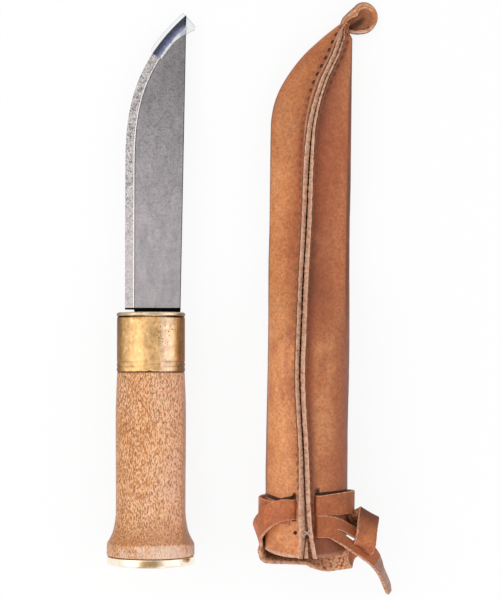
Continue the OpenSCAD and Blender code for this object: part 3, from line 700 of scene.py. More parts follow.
def back_half(y):
    t = clamp((BLADE_LENGTH - y) / (BELLY_LENGTH * 0.6))
    return (POINT_THICKNESS + (BLADE_THICKNESS - POINT_THICKNESS) * t) / 2


def blade_ring(y):
    """Section of the blade: spine, flat, painted shade and highlight lines at the shoulder, flat bevel, edge.
    """
    nick = 0.09 * wobble(y * 1.1, 3.0) * clamp((y - 30) / 30)
    edge = belly(y) + nick * clamp((BLADE_LENGTH - y) / 4)
    back = max(SPINE_OFFSET + SPINE_RISE * y / BLADE_LENGTH, edge + 0.02)
    wide = BEVEL_WIDTH * math.sqrt(1 + belly_slope(y) ** 2)
    share = min((back - edge - 0.005) / wide, 1)
    shoulder = edge + wide * share
    low = EDGE_THICKNESS / 2
    high = low + (back_half(y) - low) * share
    room = back - shoulder
    # Widths of the spine's chamfer, the painted shade strip on the flat and the painted highlight strip on
    # the bevel
    chamfer = min(0.3, room * 0.3)
    dark = min(0.35, room * 0.3)
    light = min(0.45, (shoulder - edge) * 0.2)
    drop = (high - low) / (shoulder - edge)
    top = [
        (back, high - chamfer), (back - chamfer, high), (shoulder + dark, high), (shoulder, high - 0.02),
        (shoulder - light, high - light * drop), ((shoulder + edge) / 2, (high + low) / 2), (edge, low),
    ]
    return [(x, y, z) for x, z in top] + [(x, y, -z) for x, z in reversed(top)]


def make_blade():
    shape = Shape()
    straight = BLADE_LENGTH - BELLY_LENGTH
    stations = [HEEL_LENGTH] + spread(HEEL_LENGTH + 0.75, straight, 40)[:-1]
    steps = 110
    stations += [straight + (BELLY_LENGTH - 0.12) * (1 - (1 - i / steps) ** 1.5) for i in range(steps + 1)]
    rings = [blade_ring(y) for y in stations]
    corners, faces = loft(rings)
    # Painted shade on the spine and beside the shoulder; a painted highlight on the bevel's top and on the
    # edge
    side = [SHADOW_LINE, FLAT, SHADOW_LINE, HIGHLIGHT_LINE, BEVEL, BEVEL]
    across = side + [HIGHLIGHT_LINE] + side[::-1] + [SHADOW_LINE]
    # The blade's first stretch by the ferrule and its base cap are painted black as shadow
    shape.join(corners, faces, [HEEL_SHADOW] * len(across) + across * (len(rings) - 2) + [HEEL_SHADOW, BEVEL])
    # The heel below the bevel, painted black as shadow
    half = BLADE_THICKNESS / 2
    low, high = BEVEL_WIDTH - EDGE_OFFSET, SPINE_OFFSET
    heel = []
    for y, cut in ((0.0, 0.3), (0.45, 0.0), (HEEL_LENGTH + 0.02, 0.0)):
        heel.append([(low + cut, y, -half + cut), (high - cut, y, -half + cut),
                     (high - cut, y, half - cut), (low + cut, y, half - cut)])
    shape.join(*loft(heel), HEEL_SHADOW)
    peen = [(STUB_D / 2, WOOD_END - 2), (STUB_D / 2, BUTT_END - PEEN_DEPTH), (PEEN_D / 2, BUTT_END - 0.12),
            (PEEN_D / 2 - 0.25, BUTT_END + 0.1), (PEEN_D / 2 - 1.2, BUTT_END + 0.3), (0.6, BUTT_END + 0.34)]
    rings = []
    for r, back in peen:
        hammered = 0.1 if back > BUTT_END - 0.2 else 0.0
        rings.append([(x, -back - hammered * wobble(x * 0.7, z * 0.7, 9.0), z) for x, z in circle(r, 48)])
    shape.join(*loft(rings), FLAT)
    shape.piece("blade", "knife", STEEL, 12.0)


def make_plate():
    shape = Shape()
    rim = [(-1.3, 0.0), (-0.7, 0.02), (-0.35, 0.12), (-0.05, 0.34), (0.1, 0.62), (0.15, 0.95), (0.13, 1.25),
           (0.02, 1.52), (-0.2, 1.74), (-0.5, 1.88), (-1.2, PLATE_THICKNESS)]
    shape.join(*loft([oval_ring(back, d) for d, back in rim]))
    shape.piece("ferrule_plate", "knife", [PLATE_BRASS])


def sleeve_wave(x, z):
    """The sleeve's end is filed by hand: slightly wavy, with one small notch on the upper side."""
    notch = 0.55 * math.exp(-((x + 0.3) / 1.1) ** 2) if z > 0 else 0.0
    return 0.12 * wobble(x * 0.35, z * 0.35, 2.0) - notch


def make_sleeve():
    shape = Shape()
    end = FERRULE_LENGTH
    outline = [
        (-0.75, PLATE_THICKNESS), (-0.35, 1.98), (-0.1, 2.2), (0.0, 2.6), (0.0, 9.0), (0.0, 15.0),
        (0.0, 20.4), (-0.02, 20.7), (-0.18, 20.95), (-0.2, 21.15), (-0.04, 21.4), (0.03, 21.8), (0.03, 22.5),
        (-0.04, 22.85), (-0.2, 23.05), (-0.2, 23.25), (-0.02, 23.5), (0.04, 23.9), (0.04, 24.7),
        (-0.06, 25.0), (-0.35, end), (-FERRULE_WALL, end), (-FERRULE_WALL, 14.0),
        (-FERRULE_WALL, PLATE_THICKNESS + 0.02),
    ]
    filed_from = 24
    rings = [oval_ring(back, d, sleeve_wave if back > filed_from else None) for d, back in outline]
    corners, faces = loft(rings + [rings[0]], False, False)
    n = len(rings) * AROUND
    faces = [tuple(k % n for k in face) for face in faces]
    shape.join(corners[:n], faces)
    shape.piece("ferrule_sleeve", "knife", [FERRULE_BRASS], 50.0)


FLARE_FROM = LIP_AT - FLARE_LENGTH
FLARE_RISE = BUTT_OUT - GRIP_OUT + WAIST
FLARE_SHAPE = ((0.3, 0.1), (0.6, 0.32), (0.8, 0.64), (0.92, 0.9), (1, 0.985))
GRIP_SHAPE = (
    [(FERRULE_LENGTH, -0.1), (FERRULE_LENGTH + SWELL_LENGTH, GRIP_OUT), (FLARE_FROM, GRIP_OUT - WAIST)]
    + [(FLARE_FROM + FLARE_LENGTH * f, GRIP_OUT - WAIST + FLARE_RISE * g) for f, g in FLARE_SHAPE]
    + [(WOOD_END, BUTT_OUT)]
)


def lean(share):
    """The butt's upper part stands back a little, by a share of its full lean."""
    return lambda x, z: 0.9 * share * clamp(z / 14) ** 1.3


def make_handle():
    shape = Shape()
    start = FERRULE_LENGTH
    outline = [(-1.0, start - 6), (-1.0, start + 0.02), (-0.45, start + 0.04), (-0.2, start + 0.2)]
    stations = spread(start + 0.6, FLARE_FROM, 24) + spread(FLARE_FROM, LIP_AT, 26)[1:]
    outline += [(curve(GRIP_SHAPE, back), back) for back in stations]
    lip = WOOD_END - 3.6
    outline += [
        (curve(GRIP_SHAPE, lip), lip), (BUTT_OUT, WOOD_END - 2), (BUTT_OUT, WOOD_END - 0.5),
        (BUTT_OUT - 0.15, WOOD_END - 0.25), (BUTT_OUT - 0.6, WOOD_END - 0.12), (BUTT_OUT - 1.4, WOOD_END),
    ]
    shape.join(*loft([oval_ring(back, d, lean(clamp((back - WOOD_END) / 5 + 1))) for d, back in outline]))
    shape.piece("handle", "knife", [BIRCH])


def make_cap():
    shape = Shape()
    out = BUTT_OUT + 0.1
    outline = [(out - 1.4, WOOD_END + 0.02), (out - 0.6, WOOD_END + 0.1), (out - 0.12, WOOD_END + 0.3),
               (out, WOOD_END + 0.6), (out, BUTT_END - 1.0),
               (out - 0.07, BUTT_END - 0.62), (out - 0.3, BUTT_END - 0.3), (out - 0.62, BUTT_END - 0.07),
               (out - 1.0, BUTT_END), (out - 4.0, BUTT_END + 0.02)]
    corners, faces = loft([oval_ring(back, d, lean(1.0)) for d, back in outline])
    side, end_face = 0, 1
    shape.join(corners, faces, [side] * (len(faces) - AROUND - 2) + [end_face] * (AROUND + 2))
    shape.piece("butt_cap", "knife", [CAP_BRASS, CAP_FACE], 30.0)


def make_guard():
    """Folded film over the point: a C-shaped section, row by row along the edge."""
    shape = Shape()
    low = BLADE_LENGTH - GUARD_LENGTH
    rows = spread(low, BLADE_LENGTH - 0.3, 40)
    out = GUARD_RIM + GUARD_CLEARANCE
    wall = 0.18
    rings, rims = [], []
    for k, y in enumerate(rows):
        slope = belly_slope(y)
        n = math.sqrt(1 + slope * slope)
        edge = belly(y)
        up = (y - low) / (rows[-1] - low)
        limit = min(GUARD_REACH + 3.2 * clamp((up - 0.45) / 0.55) ** 1.5, (TIP_OFFSET + 3.7 - edge) * n)
        limit = max(limit, 1.0)
        outside = out * math.sqrt(clamp(up / 0.08, 0.05))

        def at(d, z):
            return (edge + d / n, y - d * slope / n, z)

        def thick(d):
            x = edge + d / n
            beyond = x > SPINE_OFFSET + SPINE_RISE * y / BLADE_LENGTH
            body = 0.1 + (back_half(y) - 0.1) * clamp(d / BEVEL_WIDTH) if d > 0 else 0.0
            return 0.28 if beyond else max(body + 0.14, 0.2)

        depths = spread(0.05, limit, 14)
        upper = [(d, thick(d) + wall) for d in reversed(depths)] + [(-outside * 0.65, 0.3), (-outside, 0.2)]
        under = [(d, thick(d)) for d in depths]
        below = [(d, -z) for d, z in reversed(upper)] + [(d, -z) for d, z in reversed(under)]
        loop = upper + below + under[1:]
        rings.append([at(d, z) for d, z in loop])
        hem = k in (0, len(rows) - 1)
        rims += [1.0 if hem or d < -outside * 0.9 or d > limit - 0.01 else 0.0 for d, z in loop]
    corners, faces = loft(rings)
    shape.join(corners, faces, rim=rims)
    shape.piece("tip_guard", "guard", [PLASTIC], 40.0)


# Sheath: its axis lies along y, the mouth at y = 0, its underside at z = 0

def sheath_left(y):
    t = clamp((TIP_AT - y) / SWEEP_LENGTH)
    return -HALF_W + (HALF_W + TIP_X) * (1 - t) ** 2.05


# Along the sheath: its height, how square its section is, and how far right of its middle the seam runs
HEIGHTS = [
    (0, MOUTH_HEIGHT), (FERRULE_FRONT - 4, MOUTH_HEIGHT), (FERRULE_FRONT + 3, MOUTH_HEIGHT - 1.5),
    (FERRULE_FRONT + 15, (MOUTH_HEIGHT + BLADE_PART_HEIGHT) / 2 - 1), (SHOULDER_END, BLADE_PART_HEIGHT + 0.5),
    (SHOULDER_END + 10, BLADE_PART_HEIGHT), (POINT_AT - 6, BLADE_PART_HEIGHT - 0.5), (TIP_AT, 5.4),
]
SQUARENESS = [(0, 2.3), (FERRULE_FRONT, 2.4), (SHOULDER_END, 3.2), (POINT_AT - 20, 3.2), (TIP_AT, 2.4)]
SEAM = [
    (0, 1.0), (20, -0.7), (45, -1.9), (75, -3.8), (FERRULE_FRONT + 14, -3.1), (POINT_AT - 78, -1.6),
    (POINT_AT - 48, -0.5), (POINT_AT - 33, 1.0), (POINT_AT - 18, 5.0), (POINT_AT - 6, 10.2),
    (POCKET_END, TIP_X + 0.3),
]


def section_mid(y):
    return (HALF_W + sheath_left(y)) / 2


def section_half(y, inset):
    return (HALF_W - sheath_left(y)) / 2 - inset


def round_sign(v, p):
    return math.copysign(abs(v) ** p, v)


def section(y, a, inset):
    """Point of the sheath's section at angle a, inset from the outer face."""
    p, h = 2 / curve(SQUARENESS, y), curve(HEIGHTS, y)
    return (section_mid(y) + section_half(y, inset) * round_sign(math.cos(a), p),
            h / 2 + (h / 2 - inset) * round_sign(math.sin(a), p))


def root_angle(y, x):
    c = (x - section_mid(y)) / section_half(y, LEATHER / 2)
    return math.acos(math.copysign(min(abs(c), 0.999) ** (curve(SQUARENESS, y) / 2), c))


def fold_room(y):
    """How much further the left flange stands off the seam at the mouth, where the inner fold shows."""
    return 0.9 * clamp(1 - y / 12)


def sheet_line(y, flat=6, bend=7, round_=72):
    """The leather's middle line at y: left flange, round the pocket, right flange."""
    gap = SEAM_GAP * (1 - 0.5 * clamp((y - 165) / 30) + 0.6 * clamp(1 - y / 45))
    mid = gap / 2 + LEATHER / 2 + MOUTH_SPREAD / 2 * max(1 - y / 16, 0) ** 2
    f = min(FILLET, section_half(y, 0) * 0.3)
    x = curve(SEAM, y)
    far = mid + fold_room(y)
    start = root_angle(y, x - far - f)
    stop = 2 * math.pi + root_angle(y, x + mid + f)
    z1 = section(y, start, LEATHER / 2)[1]
    z2 = section(y, stop, LEATHER / 2)[1]
    ragged = 0.25 * wobble(y * 0.11, 4.0) + 0.12 * wobble(y * 0.5, 7.0)
    top = FLANGE_HEIGHT - f + ragged
    turns = [math.pi / 2 * i / bend for i in range(1, bend + 1)]
    left = [(x - far, z1 + f + top * k) for k in spread(1.0, 0.0, flat + 1)[:-1]]
    left += [(x - far - f + f * math.sin(t), z1 + f - f * math.cos(t)) for t in reversed(turns)]
    pocket = [section(y, a, LEATHER / 2) for a in spread(start, stop, round_ + 1)]
    right = [(x + mid + f - f * math.sin(t), z2 + f - f * math.cos(t)) for t in turns]
    right += [(x + mid, z2 + f + top * k) for k in spread(0.0, 1.0, flat + 1)[1:]]
    return left + pocket + right


# How far right of the seam the stitch holes show, and how far left along the seam
HOLE_RIGHT = 2.8
HOLE_AT = [(0, -2.6), (140, -2.7), (170, -3.8), (200, -4.5), (215, -3.9), (POCKET_END, -3.6)]
# How much thicker than the sheet each flange's cut edge is, along the seam
LEFT_LIP = [(0, 0.4), (6, 0.75), (12, 1.2), (28, 0.5), (50, 0.0), (140, 0.1), (165, 0.35), (185, 0.2),
            (POCKET_END, 0.0)]
RIGHT_LIP = [(0, 0.1), (60, 0.15), (140, 0.15), (165, -0.2), (185, -0.6), (POCKET_END, -0.7)]


def mouth_back(x):
    """How far the mouth's edge is cut back from y = 0, across the sheath."""
    return MOUTH_CUT * abs(clamp(x / HALF_W, -1, 1)) ** 3.2


def sheet_ring(y):
    """Ring through outer and inner face, with each point's distance from the stitch holes, side and painted
    shade.
    """
    line = sheet_line(y)
    count = len(line)
    run = [0.0]
    for a, b in zip(line, line[1:]):
        run.append(run[-1] + math.dist(a, b))
    x_seam = curve(SEAM, y)
    fade = max(1 - y / 18, 0) ** 2
    thick_left, thick_right = curve(LEFT_LIP, y), curve(RIGHT_LIP, y)
    hole_left = curve(HOLE_AT, y)
    ring, slots, sides, shade_amounts = [], [], [], []

    def put(i, out):
        x, z = line[i]
        near = min(run[i], run[-1] - run[i])
        left = i * 2 < count
        t = tangent(line, i)
        if out > 0:
            out += (thick_left if left else thick_right) * clamp(1 - near / 5.0)
            out += clamp(near / 8) * (0.2 * wobble(x * 0.09, y * 0.05, z * 0.09)
                                      + 0.05 * wobble(x * 0.4, y * 0.3, z * 0.4))
            out += 0.28 * clamp(1 - near / 2) * wobble(y * 0.45, 2.0 if left else 8.0)
        else:
            out -= 0.4 * clamp(1 - near / 1.5) * max(wobble(y * 0.55, 12.0 if left else 18.0), 0)
        x, z = x + out * t[1], z - out * t[0]
        ring.append((x, y + mouth_back(x) * fade, z))
        slots.append(x - x_seam - (hole_left if left else HOLE_RIGHT) if near < 9 else NO_SLOT)
        span = HALF_W - x_seam if x > x_seam else x_seam - sheath_left(y)
        side = clamp((x - x_seam) / max(span, 0.1), -1, 1)
        if near < 6:
            side = min(side, -0.02) if left else max(side, 0.02)
        sides.append(side)
        # Painted shade on the inner face, less near the flanges' edges
        shade_amounts.append(0.0 if out > 0 else 0.55 if near > 1 else 0.5 if left else 0.25)

    for i in range(count):
        put(i, LEATHER / 2)
    for i in range(count - 1, -1, -1):
        put(i, -LEATHER / 2)
    return ring, slots, sides, shade_amounts


# Past the pocket's end: the distance, and the section's share that is left
NECK = ((1.0, 0.88), (2.0, 0.75), (3.0, 0.63), (4.0, 0.53), (5.2, 0.42), (6.6, 0.34))


def neck_ring(last, past, share):
    """The pocket's last ring, drawn in toward the ear."""
    y = POCKET_END + past
    mid = sheath_left(y) + share * section_half(POCKET_END, 0)
    old_mid = section_mid(POCKET_END)
    return [(mid + share * (x - old_mid), y, 0.2 + z * (0.4 + 0.6 * share)) for x, _, z in last]


# The ear's middle and, by angle, its outline as a share of half its width
EAR_AT = (TIP_X + 8.1, TIP_AT + 1.3)
EAR_OUTLINE = [
    (0, 0.97), (28, 1.04), (65, 1.06), (94, 0.96), (124, 0.79), (155, 0.84), (178, 1.04), (200, 1.2),
    (216, 1.12), (234, 0.94), (270, 0.8), (304, 0.83), (339, 0.89), (360, 0.97),
]
# By angle: the rim's height as a share of the ear's, its thickness as a share of the width, and how steep
# it is inside
EAR_RIM = [(0, 0.57), (45, 0.74), (90, 0.92), (130, 1), (180, 0.97), (215, 0.74), (250, 0.6), (290, 0.58),
           (360, 0.57)]
EAR_THICK = [(0, 0.08), (45, 0.145), (90, 0.22), (125, 0.255), (165, 0.245), (200, 0.17), (235, 0.11),
             (270, 0.125), (320, 0.1), (360, 0.08)]
EAR_STEEP = [(0, 1.8), (45, 1.4), (80, 1.8), (130, 6.0), (180, 8.0), (225, 5.0), (270, 6.0), (320, 3.5),
             (360, 1.8)]
# Between which angles the roll shows painted highlight streaks, and the lip its cut edge
EAR_ROLL = (40, 205)
EAR_CUT = (210, 340)
# Up the outside: share of the outline, share of the rim's height; over the lip: share of its thickness,
# height over the rim; down into the hollow: share of the way from its deepest point
EAR_WALL = ((0.1, 0), (0.45, 0), (0.7, 0.06), (0.86, 0.2), (0.95, 0.42), (1.0, 0.68), (0.985, 0.88))
EAR_LIP = ((0.18, 0.0), (0.4, 0.12), (0.65, 0.1), (0.86, -0.15), (1.0, -0.55))
EAR_FLOOR = (0.93, 0.86, 0.78, 0.68, 0.55, 0.4, 0.25, 0.1)
EAR_DEEP = (-1.8, 0.0, 1.2)
# Ends of the crease painted in shade, from the ear's middle, and angles of the lip's holes, painted dark as
# shade
EAR_CREASE = ((-6.6, -4.6), (2.2, 1.6))
EAR_HOLES = (251, 291, 319)
# Ring by ring from the underside to the hollow: painted highlight streaks on the roll, and painted shade all
# round
EAR_STREAKS = (0, 0, 0, 0, 0, 0, 0, 0.5, 0.75, 0.1, 0.85, 0.4, 0)
EAR_SHADE = (0, 0, 0.1, 0.35, 0.7, 0.95, 0.85, 0.2, 0, 0.25, 0, 0.1,
            0.4, 0.4, 0.4, 0.42, 0.42, 0.4, 0.36, 0.36)
# By angle: a painted highlight on the lip
EAR_PALE_LIP = [(0, 0.05), (205, 0), (225, 0.7), (260, 0.95), (310, 0.9), (335, 0.5), (350, 0.1), (360, 0.05)]
GRAIN_SIDE, FLESH_SIDE, CUT_EDGE, WORN_SIDE = range(4)
# A distance from the stitch holes that is too far for any of them to show
NO_SLOT = 9.0


def ear_crease_shade(x, y):
    """Painted shade in the crease that runs from the seam's end to past the ear's middle, at the foot of the
    roll.
    """
    (x1, y1), (x2, y2) = EAR_CREASE
    long = math.hypot(x2 - x1, y2 - y1)
    run = ((x - x1) * (x2 - x1) + (y - y1) * (y2 - y1)) / long
    off = ((x2 - x1) * (y - y1) - (y2 - y1) * (x - x1)) / long
    ends = clamp(run / 1.5) * clamp((long - run) / 3.0)
    wide = 0.7 if off > 0 else 1.6
    return 0.95 * ends * math.exp(-(off / wide) ** 2)


def add_ear(shape):
    """The cupped end: a thick roll on the upper left, a thin pale lip below, a rough hollow between."""
    floor = (TIP_AT * math.sin(SHEATH_TILT) - UNDER_STRAP) / math.cos(SHEATH_TILT) + 0.05
    steps = 96
    wall_end = len(EAR_WALL)
    lip_end = wall_end + len(EAR_LIP)
    count = lip_end + len(EAR_FLOOR)
    rings, kinds = [[] for _ in range(count)], []
    for j in range(steps):
        a = 360 * j / steps
        c, s = math.cos(math.radians(a)), math.sin(math.radians(a))
        reach = EAR_WIDTH / 2 * curve(EAR_OUTLINE, a)
        rim, thick = EAR_HEIGHT * curve(EAR_RIM, a), EAR_WIDTH * curve(EAR_THICK, a)
        steep = curve(EAR_STEEP, a)
        rim += 0.25 * wobble(c * 2.2, s * 2.2, 5.0)
        column = [(reach * r * c, reach * r * s, rim * h) for r, h in EAR_WALL]
        column += [((reach - thick * k) * c, (reach - thick * k) * s, rim + h) for k, h in EAR_LIP]
        x, y, z = column[-1]
        for q in EAR_FLOOR:
            rough = 0.3 * wobble(c * q * 5, s * q * 5, 1.0) * (1 - q * 0.6)
            column.append((EAR_DEEP[0] + q * (x - EAR_DEEP[0]), EAR_DEEP[1] + q * (y - EAR_DEEP[1]),
                           EAR_DEEP[2] + (z - EAR_DEEP[2]) * q ** steep + rough))
        for ring, (x, y, z) in zip(rings, column):
            ring.append((EAR_AT[0] + x, EAR_AT[1] + y, floor + z))
    for i in range(count - 1):
        for j in range(steps):
            lip = wall_end - 1 <= i < lip_end - 1
            kinds.append(CUT_EDGE if lip and EAR_CUT[0] < 360 * j / steps < EAR_CUT[1] else GRAIN_SIDE)
    corners, faces = loft(rings)
    n = len(corners)
    grime, pale = [], []
    for k, (x, y, _) in enumerate(corners):
        i, a = k // steps, 360 * (k % steps) / steps
        # Painted highlights: streaks on the roll and on the lip
        streak = EAR_STREAKS[i] if i < len(EAR_STREAKS) and EAR_ROLL[0] < a < EAR_ROLL[1] else 0.0
        if wall_end <= i < lip_end - 1:
            streak = max(streak, curve(EAR_PALE_LIP, a))
        pale.append(clamp(streak * (0.7 + 1.1 * wobble(a * 0.06, i * 3.0))))
        # Painted shade: the outline, the hollow, the crease and the lip's holes
        dark = EAR_SHADE[i] + ear_crease_shade(x - EAR_AT[0], y - EAR_AT[1])
        if i in (lip_end - 1, lip_end):
            dark += max(math.exp(-((a - hole) / 4.0) ** 2) for hole in EAR_HOLES)
        grime.append(clamp(dark, 0.0, 0.95))
    shape.join(corners, faces, kinds + [GRAIN_SIDE] * 2, slot=[NO_SLOT] * n, side=[-0.3] * n,
               along=[100.0] * n, grime=grime, pale=pale)


def slit_outline(x, y, long):
    half = (SLIT_WIDTH - 0.8) / 2
    return [(x - half, y), (x + half, y), (x + half, y + long), (x - half, y + long)]


def cut_slits(leather):
    """Cuts the strap's two slits and the lace hole through the back."""
    shape = Shape()
    x, y = curve(SEAM, 10) - SLIT_OUT - 0.6, 10.5
    outlines = [
        slit_outline(curve(SEAM, 21) - SLIT_OUT - 0.3, 15.4, STRAP_WIDTH + 2.0),
        slit_outline(curve(SEAM, 18) + SLIT_OUT + 0.5, 8.4, 2 * STRAP_WIDTH + 1.6),
        [(x + u, y + v) for u, v in circle(LACE_HOLE_D / 2, 20)],
    ]
    for outline in outlines:
        shape.join(*loft([[(*p, z) for p in outline] for z in (MOUTH_HEIGHT / 2, MOUTH_HEIGHT * 1.5)]))
    cutter = shape.piece("slit_cutter", "sheath", [SLIT_WALL_SHADE], nodes=())
    cut = leather.modifiers.new("slits", "BOOLEAN")
    cut.object = cutter
    cut.operation = "DIFFERENCE"
    cut.solver = "EXACT"
    cut.material_mode = "TRANSFER"
    bpy.context.view_layer.update()
    made = bpy.data.meshes.new_from_object(leather.evaluated_get(bpy.context.evaluated_depsgraph_get()))
    leather.modifiers.clear()
    leather.data = made
    bpy.data.objects.remove(cutter)


def worn_corners(y, count):
    """Paleness round the sheet's ring: only the two flanges' outer corners are worn."""
    pale = [0.0] * count
    for corner, seed in ((0, 3.0), (count // 2 - 1, 9.0)):
        pale[corner] = clamp(0.5 + 0.9 * wobble(y * 0.6, seed))
    return pale


def make_leather():
    shape = Shape()
    stations = spread(0, 16, 14)[:-1] + spread(16, FERRULE_FRONT, 44)[:-1]
    stations += spread(FERRULE_FRONT, TIP_AT - SWEEP_LENGTH, 54)[:-1]
    stations += spread(TIP_AT - SWEEP_LENGTH, POCKET_END, 48)
    rings, values = [], {"slot": [], "side": [], "grime": [], "along": [], "pale": []}

    def put(ring, *columns):
        rings.append(ring)
        for numbers, column in zip(values.values(), columns):
            numbers += column

    for y in stations:
        ring, slot, side, shade_amount = sheet_ring(y)
        n = len(ring)
        put(ring, slot, side, shade_amount, [y] * n, worn_corners(y, n))
    for past, share in NECK:
        put(neck_ring(ring, past, share), slot, side, shade_amount, [POCKET_END + past] * n, [0.0] * n)
    corners, faces = loft(rings, False, False)
    half = n // 2
    across = [GRAIN_SIDE] * (half - 1) + [CUT_EDGE] + [FLESH_SIDE] * (half - 1) + [CUT_EDGE]
    kinds = across * (len(rings) - 1)
    for start in (0, (len(rings) - 1) * n):
        for j in range(half - 1):
            faces.append(tuple(start + k for k in (j, j + 1, n - 2 - j, n - 1 - j)))
            kinds.append(CUT_EDGE)
    shape.join(corners, faces, kinds, **values)
    add_ear(shape)
    add_tongue(shape)
    cut_slits(shape.piece("sheath_leather", "sheath", [GRAIN, FLESH, CUT], 45.0))


# Along the inner fold: its place, how far left of the seam it stands, and how far below the flanges' tops
TONGUE = ((-0.2, 0.95, 3.2), (0.6, 0.95, 1.6), (2.5, 0.9, 0.9), (5.0, 0.6, 0.9), (7.5, 0.35, 1.5),
          (9.0, 0.2, 3.0))


def add_tongue(shape):
    """The seam's inner fold, which shows between the flanges at the mouth."""
    rings = []
    for y, off, drop in TONGUE:
        x, top = curve(SEAM, y) - off, sheet_line(y)[0][1]
        half, foot = 0.85 - 0.05 * y, top - FLANGE_HEIGHT - 1
        rings.append([(x - half, y, foot), (x + half, y, foot), (x + half, y, top - drop - 0.3),
                      (x + half * 0.5, y, top - drop), (x - half * 0.5, y, top - drop),
                      (x - half, y, top - drop - 0.3)])
    corners, faces = loft(rings)
    across = [FLESH_SIDE] * 2 + [CUT_EDGE] * 3 + [FLESH_SIDE]
    kinds = across * (len(rings) - 1) + [CUT_EDGE] * 2
    n = len(corners)
    # A little pale, as painted light on the shaded inner fold
    shape.join(corners, faces, kinds, slot=[NO_SLOT] * n, pale=[0.15] * n)


def tube(points, radius, sides=8):
    """Rings of a round thread along points."""
    rings = []
    for i, p in enumerate(points):
        t = tangent(points, i)
        side = t.cross(Vector((0, 0, 1)))
        if side.length < 0.2:
            side = t.cross(Vector((1, 0, 0)))
        side.normalize()
        up = side.cross(t)
        r = radius * (0.55 if i in (0, len(points) - 1) else 1.0)
        rings.append([tuple(Vector(p) + r * (u * side + v * up)) for u, v in circle(1.0, sides)])
    return rings


# Where the row of stitches begins, and where the thread crosses over the seam above the mouth
FIRST_STITCH = 8
CROSS_AT = 10.8


def make_thread():
    """Saddle stitch: through both flanges at each hole, then along each face to the next."""
    shape = Shape()
    count = math.floor((POCKET_END - 2 - FIRST_STITCH) / STITCH_PITCH)
    reach = LEATHER + SEAM_GAP / 2
    holes = []
    for i in range(count + 1):
        y = FIRST_STITCH + i * STITCH_PITCH
        x, z = curve(SEAM, y), sheet_line(y, flat=2, bend=4, round_=24)[1][1] - 0.3
        spread_ = MOUTH_SPREAD / 2 * max(1 - y / 16, 0) ** 2
        left = reach + spread_ + fold_room(y) + 0.75 * curve(LEFT_LIP, y) + THREAD_D * 0.3
        right = reach + spread_ + 0.75 * curve(RIGHT_LIP, y) + THREAD_D * 0.3
        holes.append((x, y, z, left, right))
    for i, (x, y, z, left, right) in enumerate(holes):
        stops = (x - left, x - left + 0.3, x, x + right - 0.3, x + right)
        shape.join(*loft(tube([(stop, y, z) for stop in stops], THREAD_D / 2)))
        if i + 1 == len(holes):
            break
        nx, ny, nz, next_left, next_right = holes[i + 1]
        for start, stop in ((x - left, nx - next_left), (x + right, nx + next_right)):
            run = [(start + (stop - start) * k, y + (ny - y) * k, z + (nz - z) * k) for k in spread(0, 1, 6)]
            shape.join(*loft(tube(run, THREAD_D * 0.4)))
    x, z = curve(SEAM, CROSS_AT), sheet_line(CROSS_AT)[0][1]
    pale = 1
    for way in (-1, 1):
        run = [(x + 1.3 * k, CROSS_AT + 1.1 * k * way, z + 0.25 - 0.5 * k * k) for k in spread(-1, 1, 7)]
        shape.join(*loft(tube(run, THREAD_D * 0.38)), pale)
    shape.piece("seam_thread", "sheath", [THREAD, PALE_THREAD], 60.0)


def wrap(y, a, d):
    """Point on the sheath's outer face at angle a in degrees, out from it by d."""
    x, z = section(y, math.radians(a), -d)
    return (x, y, z)


# Frames between two stations of a strap
STEPS = 14


def ribbon(line):
    """Centre, width direction, upward direction and width along a strap's stations."""
    n = (len(line) - 1) * STEPS

    def at(i, s):
        a, c, d = max(i - 1, 0), min(i + 1, len(line) - 1), min(i + 2, len(line) - 1)
        made = []
        for k in range(3):
            p = [Vector(line[m][k]) if k < 2 else Vector((line[m][k],) * 3) for m in (a, i, c, d)]
            made.append(0.5 * (2 * p[1] + (p[2] - p[0]) * s + (2 * p[0] - 5 * p[1] + 4 * p[2] - p[3]) * s * s
                               + (3 * p[1] - p[0] - 3 * p[2] + p[3]) * s ** 3))
        return made

    path = []
    for i in range(n + 1):
        k = min(i // STEPS, len(line) - 2)
        path.append(at(k, i / STEPS - k))
    centres = [centre for centre, _, _ in path]
    frames = []
    for i, (centre, across, width) in enumerate(path):
        t = tangent(centres, i)
        w = across - across.dot(t) * t
        w.normalize()
        frames.append((centre, w, t.cross(w), width[0]))
    return frames


# Points across a strap's face
SPANS = 9


def strap_ring(centre, w, up, width, seed, low=-1.0, high=1.0):
    """Section of a strap from share low to share high of its half width."""
    h = STRAP / 2
    soft = 0.3
    a, b = low * width / 2, high * width / 2
    a += 0.14 * wobble(seed, 1.0) if low <= -1 else 0.0
    b += 0.14 * wobble(seed, 6.0) if high >= 1 else 0.0
    row = spread(a + soft, b - soft, SPANS)
    top = [(v, h + 0.05 * wobble(v * 0.6, seed)) for v in row]
    loop = top + [(b - 0.08, h - 0.22), (b, 0.0), (b - 0.08, -h + 0.22)]
    loop += [(v, -h) for v in reversed(row)] + [(a + 0.08, -h + 0.22), (a, 0.0), (a + 0.08, h - 0.22)]
    return [tuple(centre + v * w + z * up) for v, z in loop]


# Painted shade on a strap's first face, from one edge to the other
SHADE_ACROSS = (0, 0.1, 0.35, 0.8, 1, 1, 1, 1, 1)
TOP_KIND = [GRAIN_SIDE] * (SPANS - 1) + [CUT_EDGE] * 4 + [FLESH_SIDE] * (SPANS - 1) + [CUT_EDGE] * 4
STRAP_SIDES = [STRAP_GRAIN, FLESH, CUT]


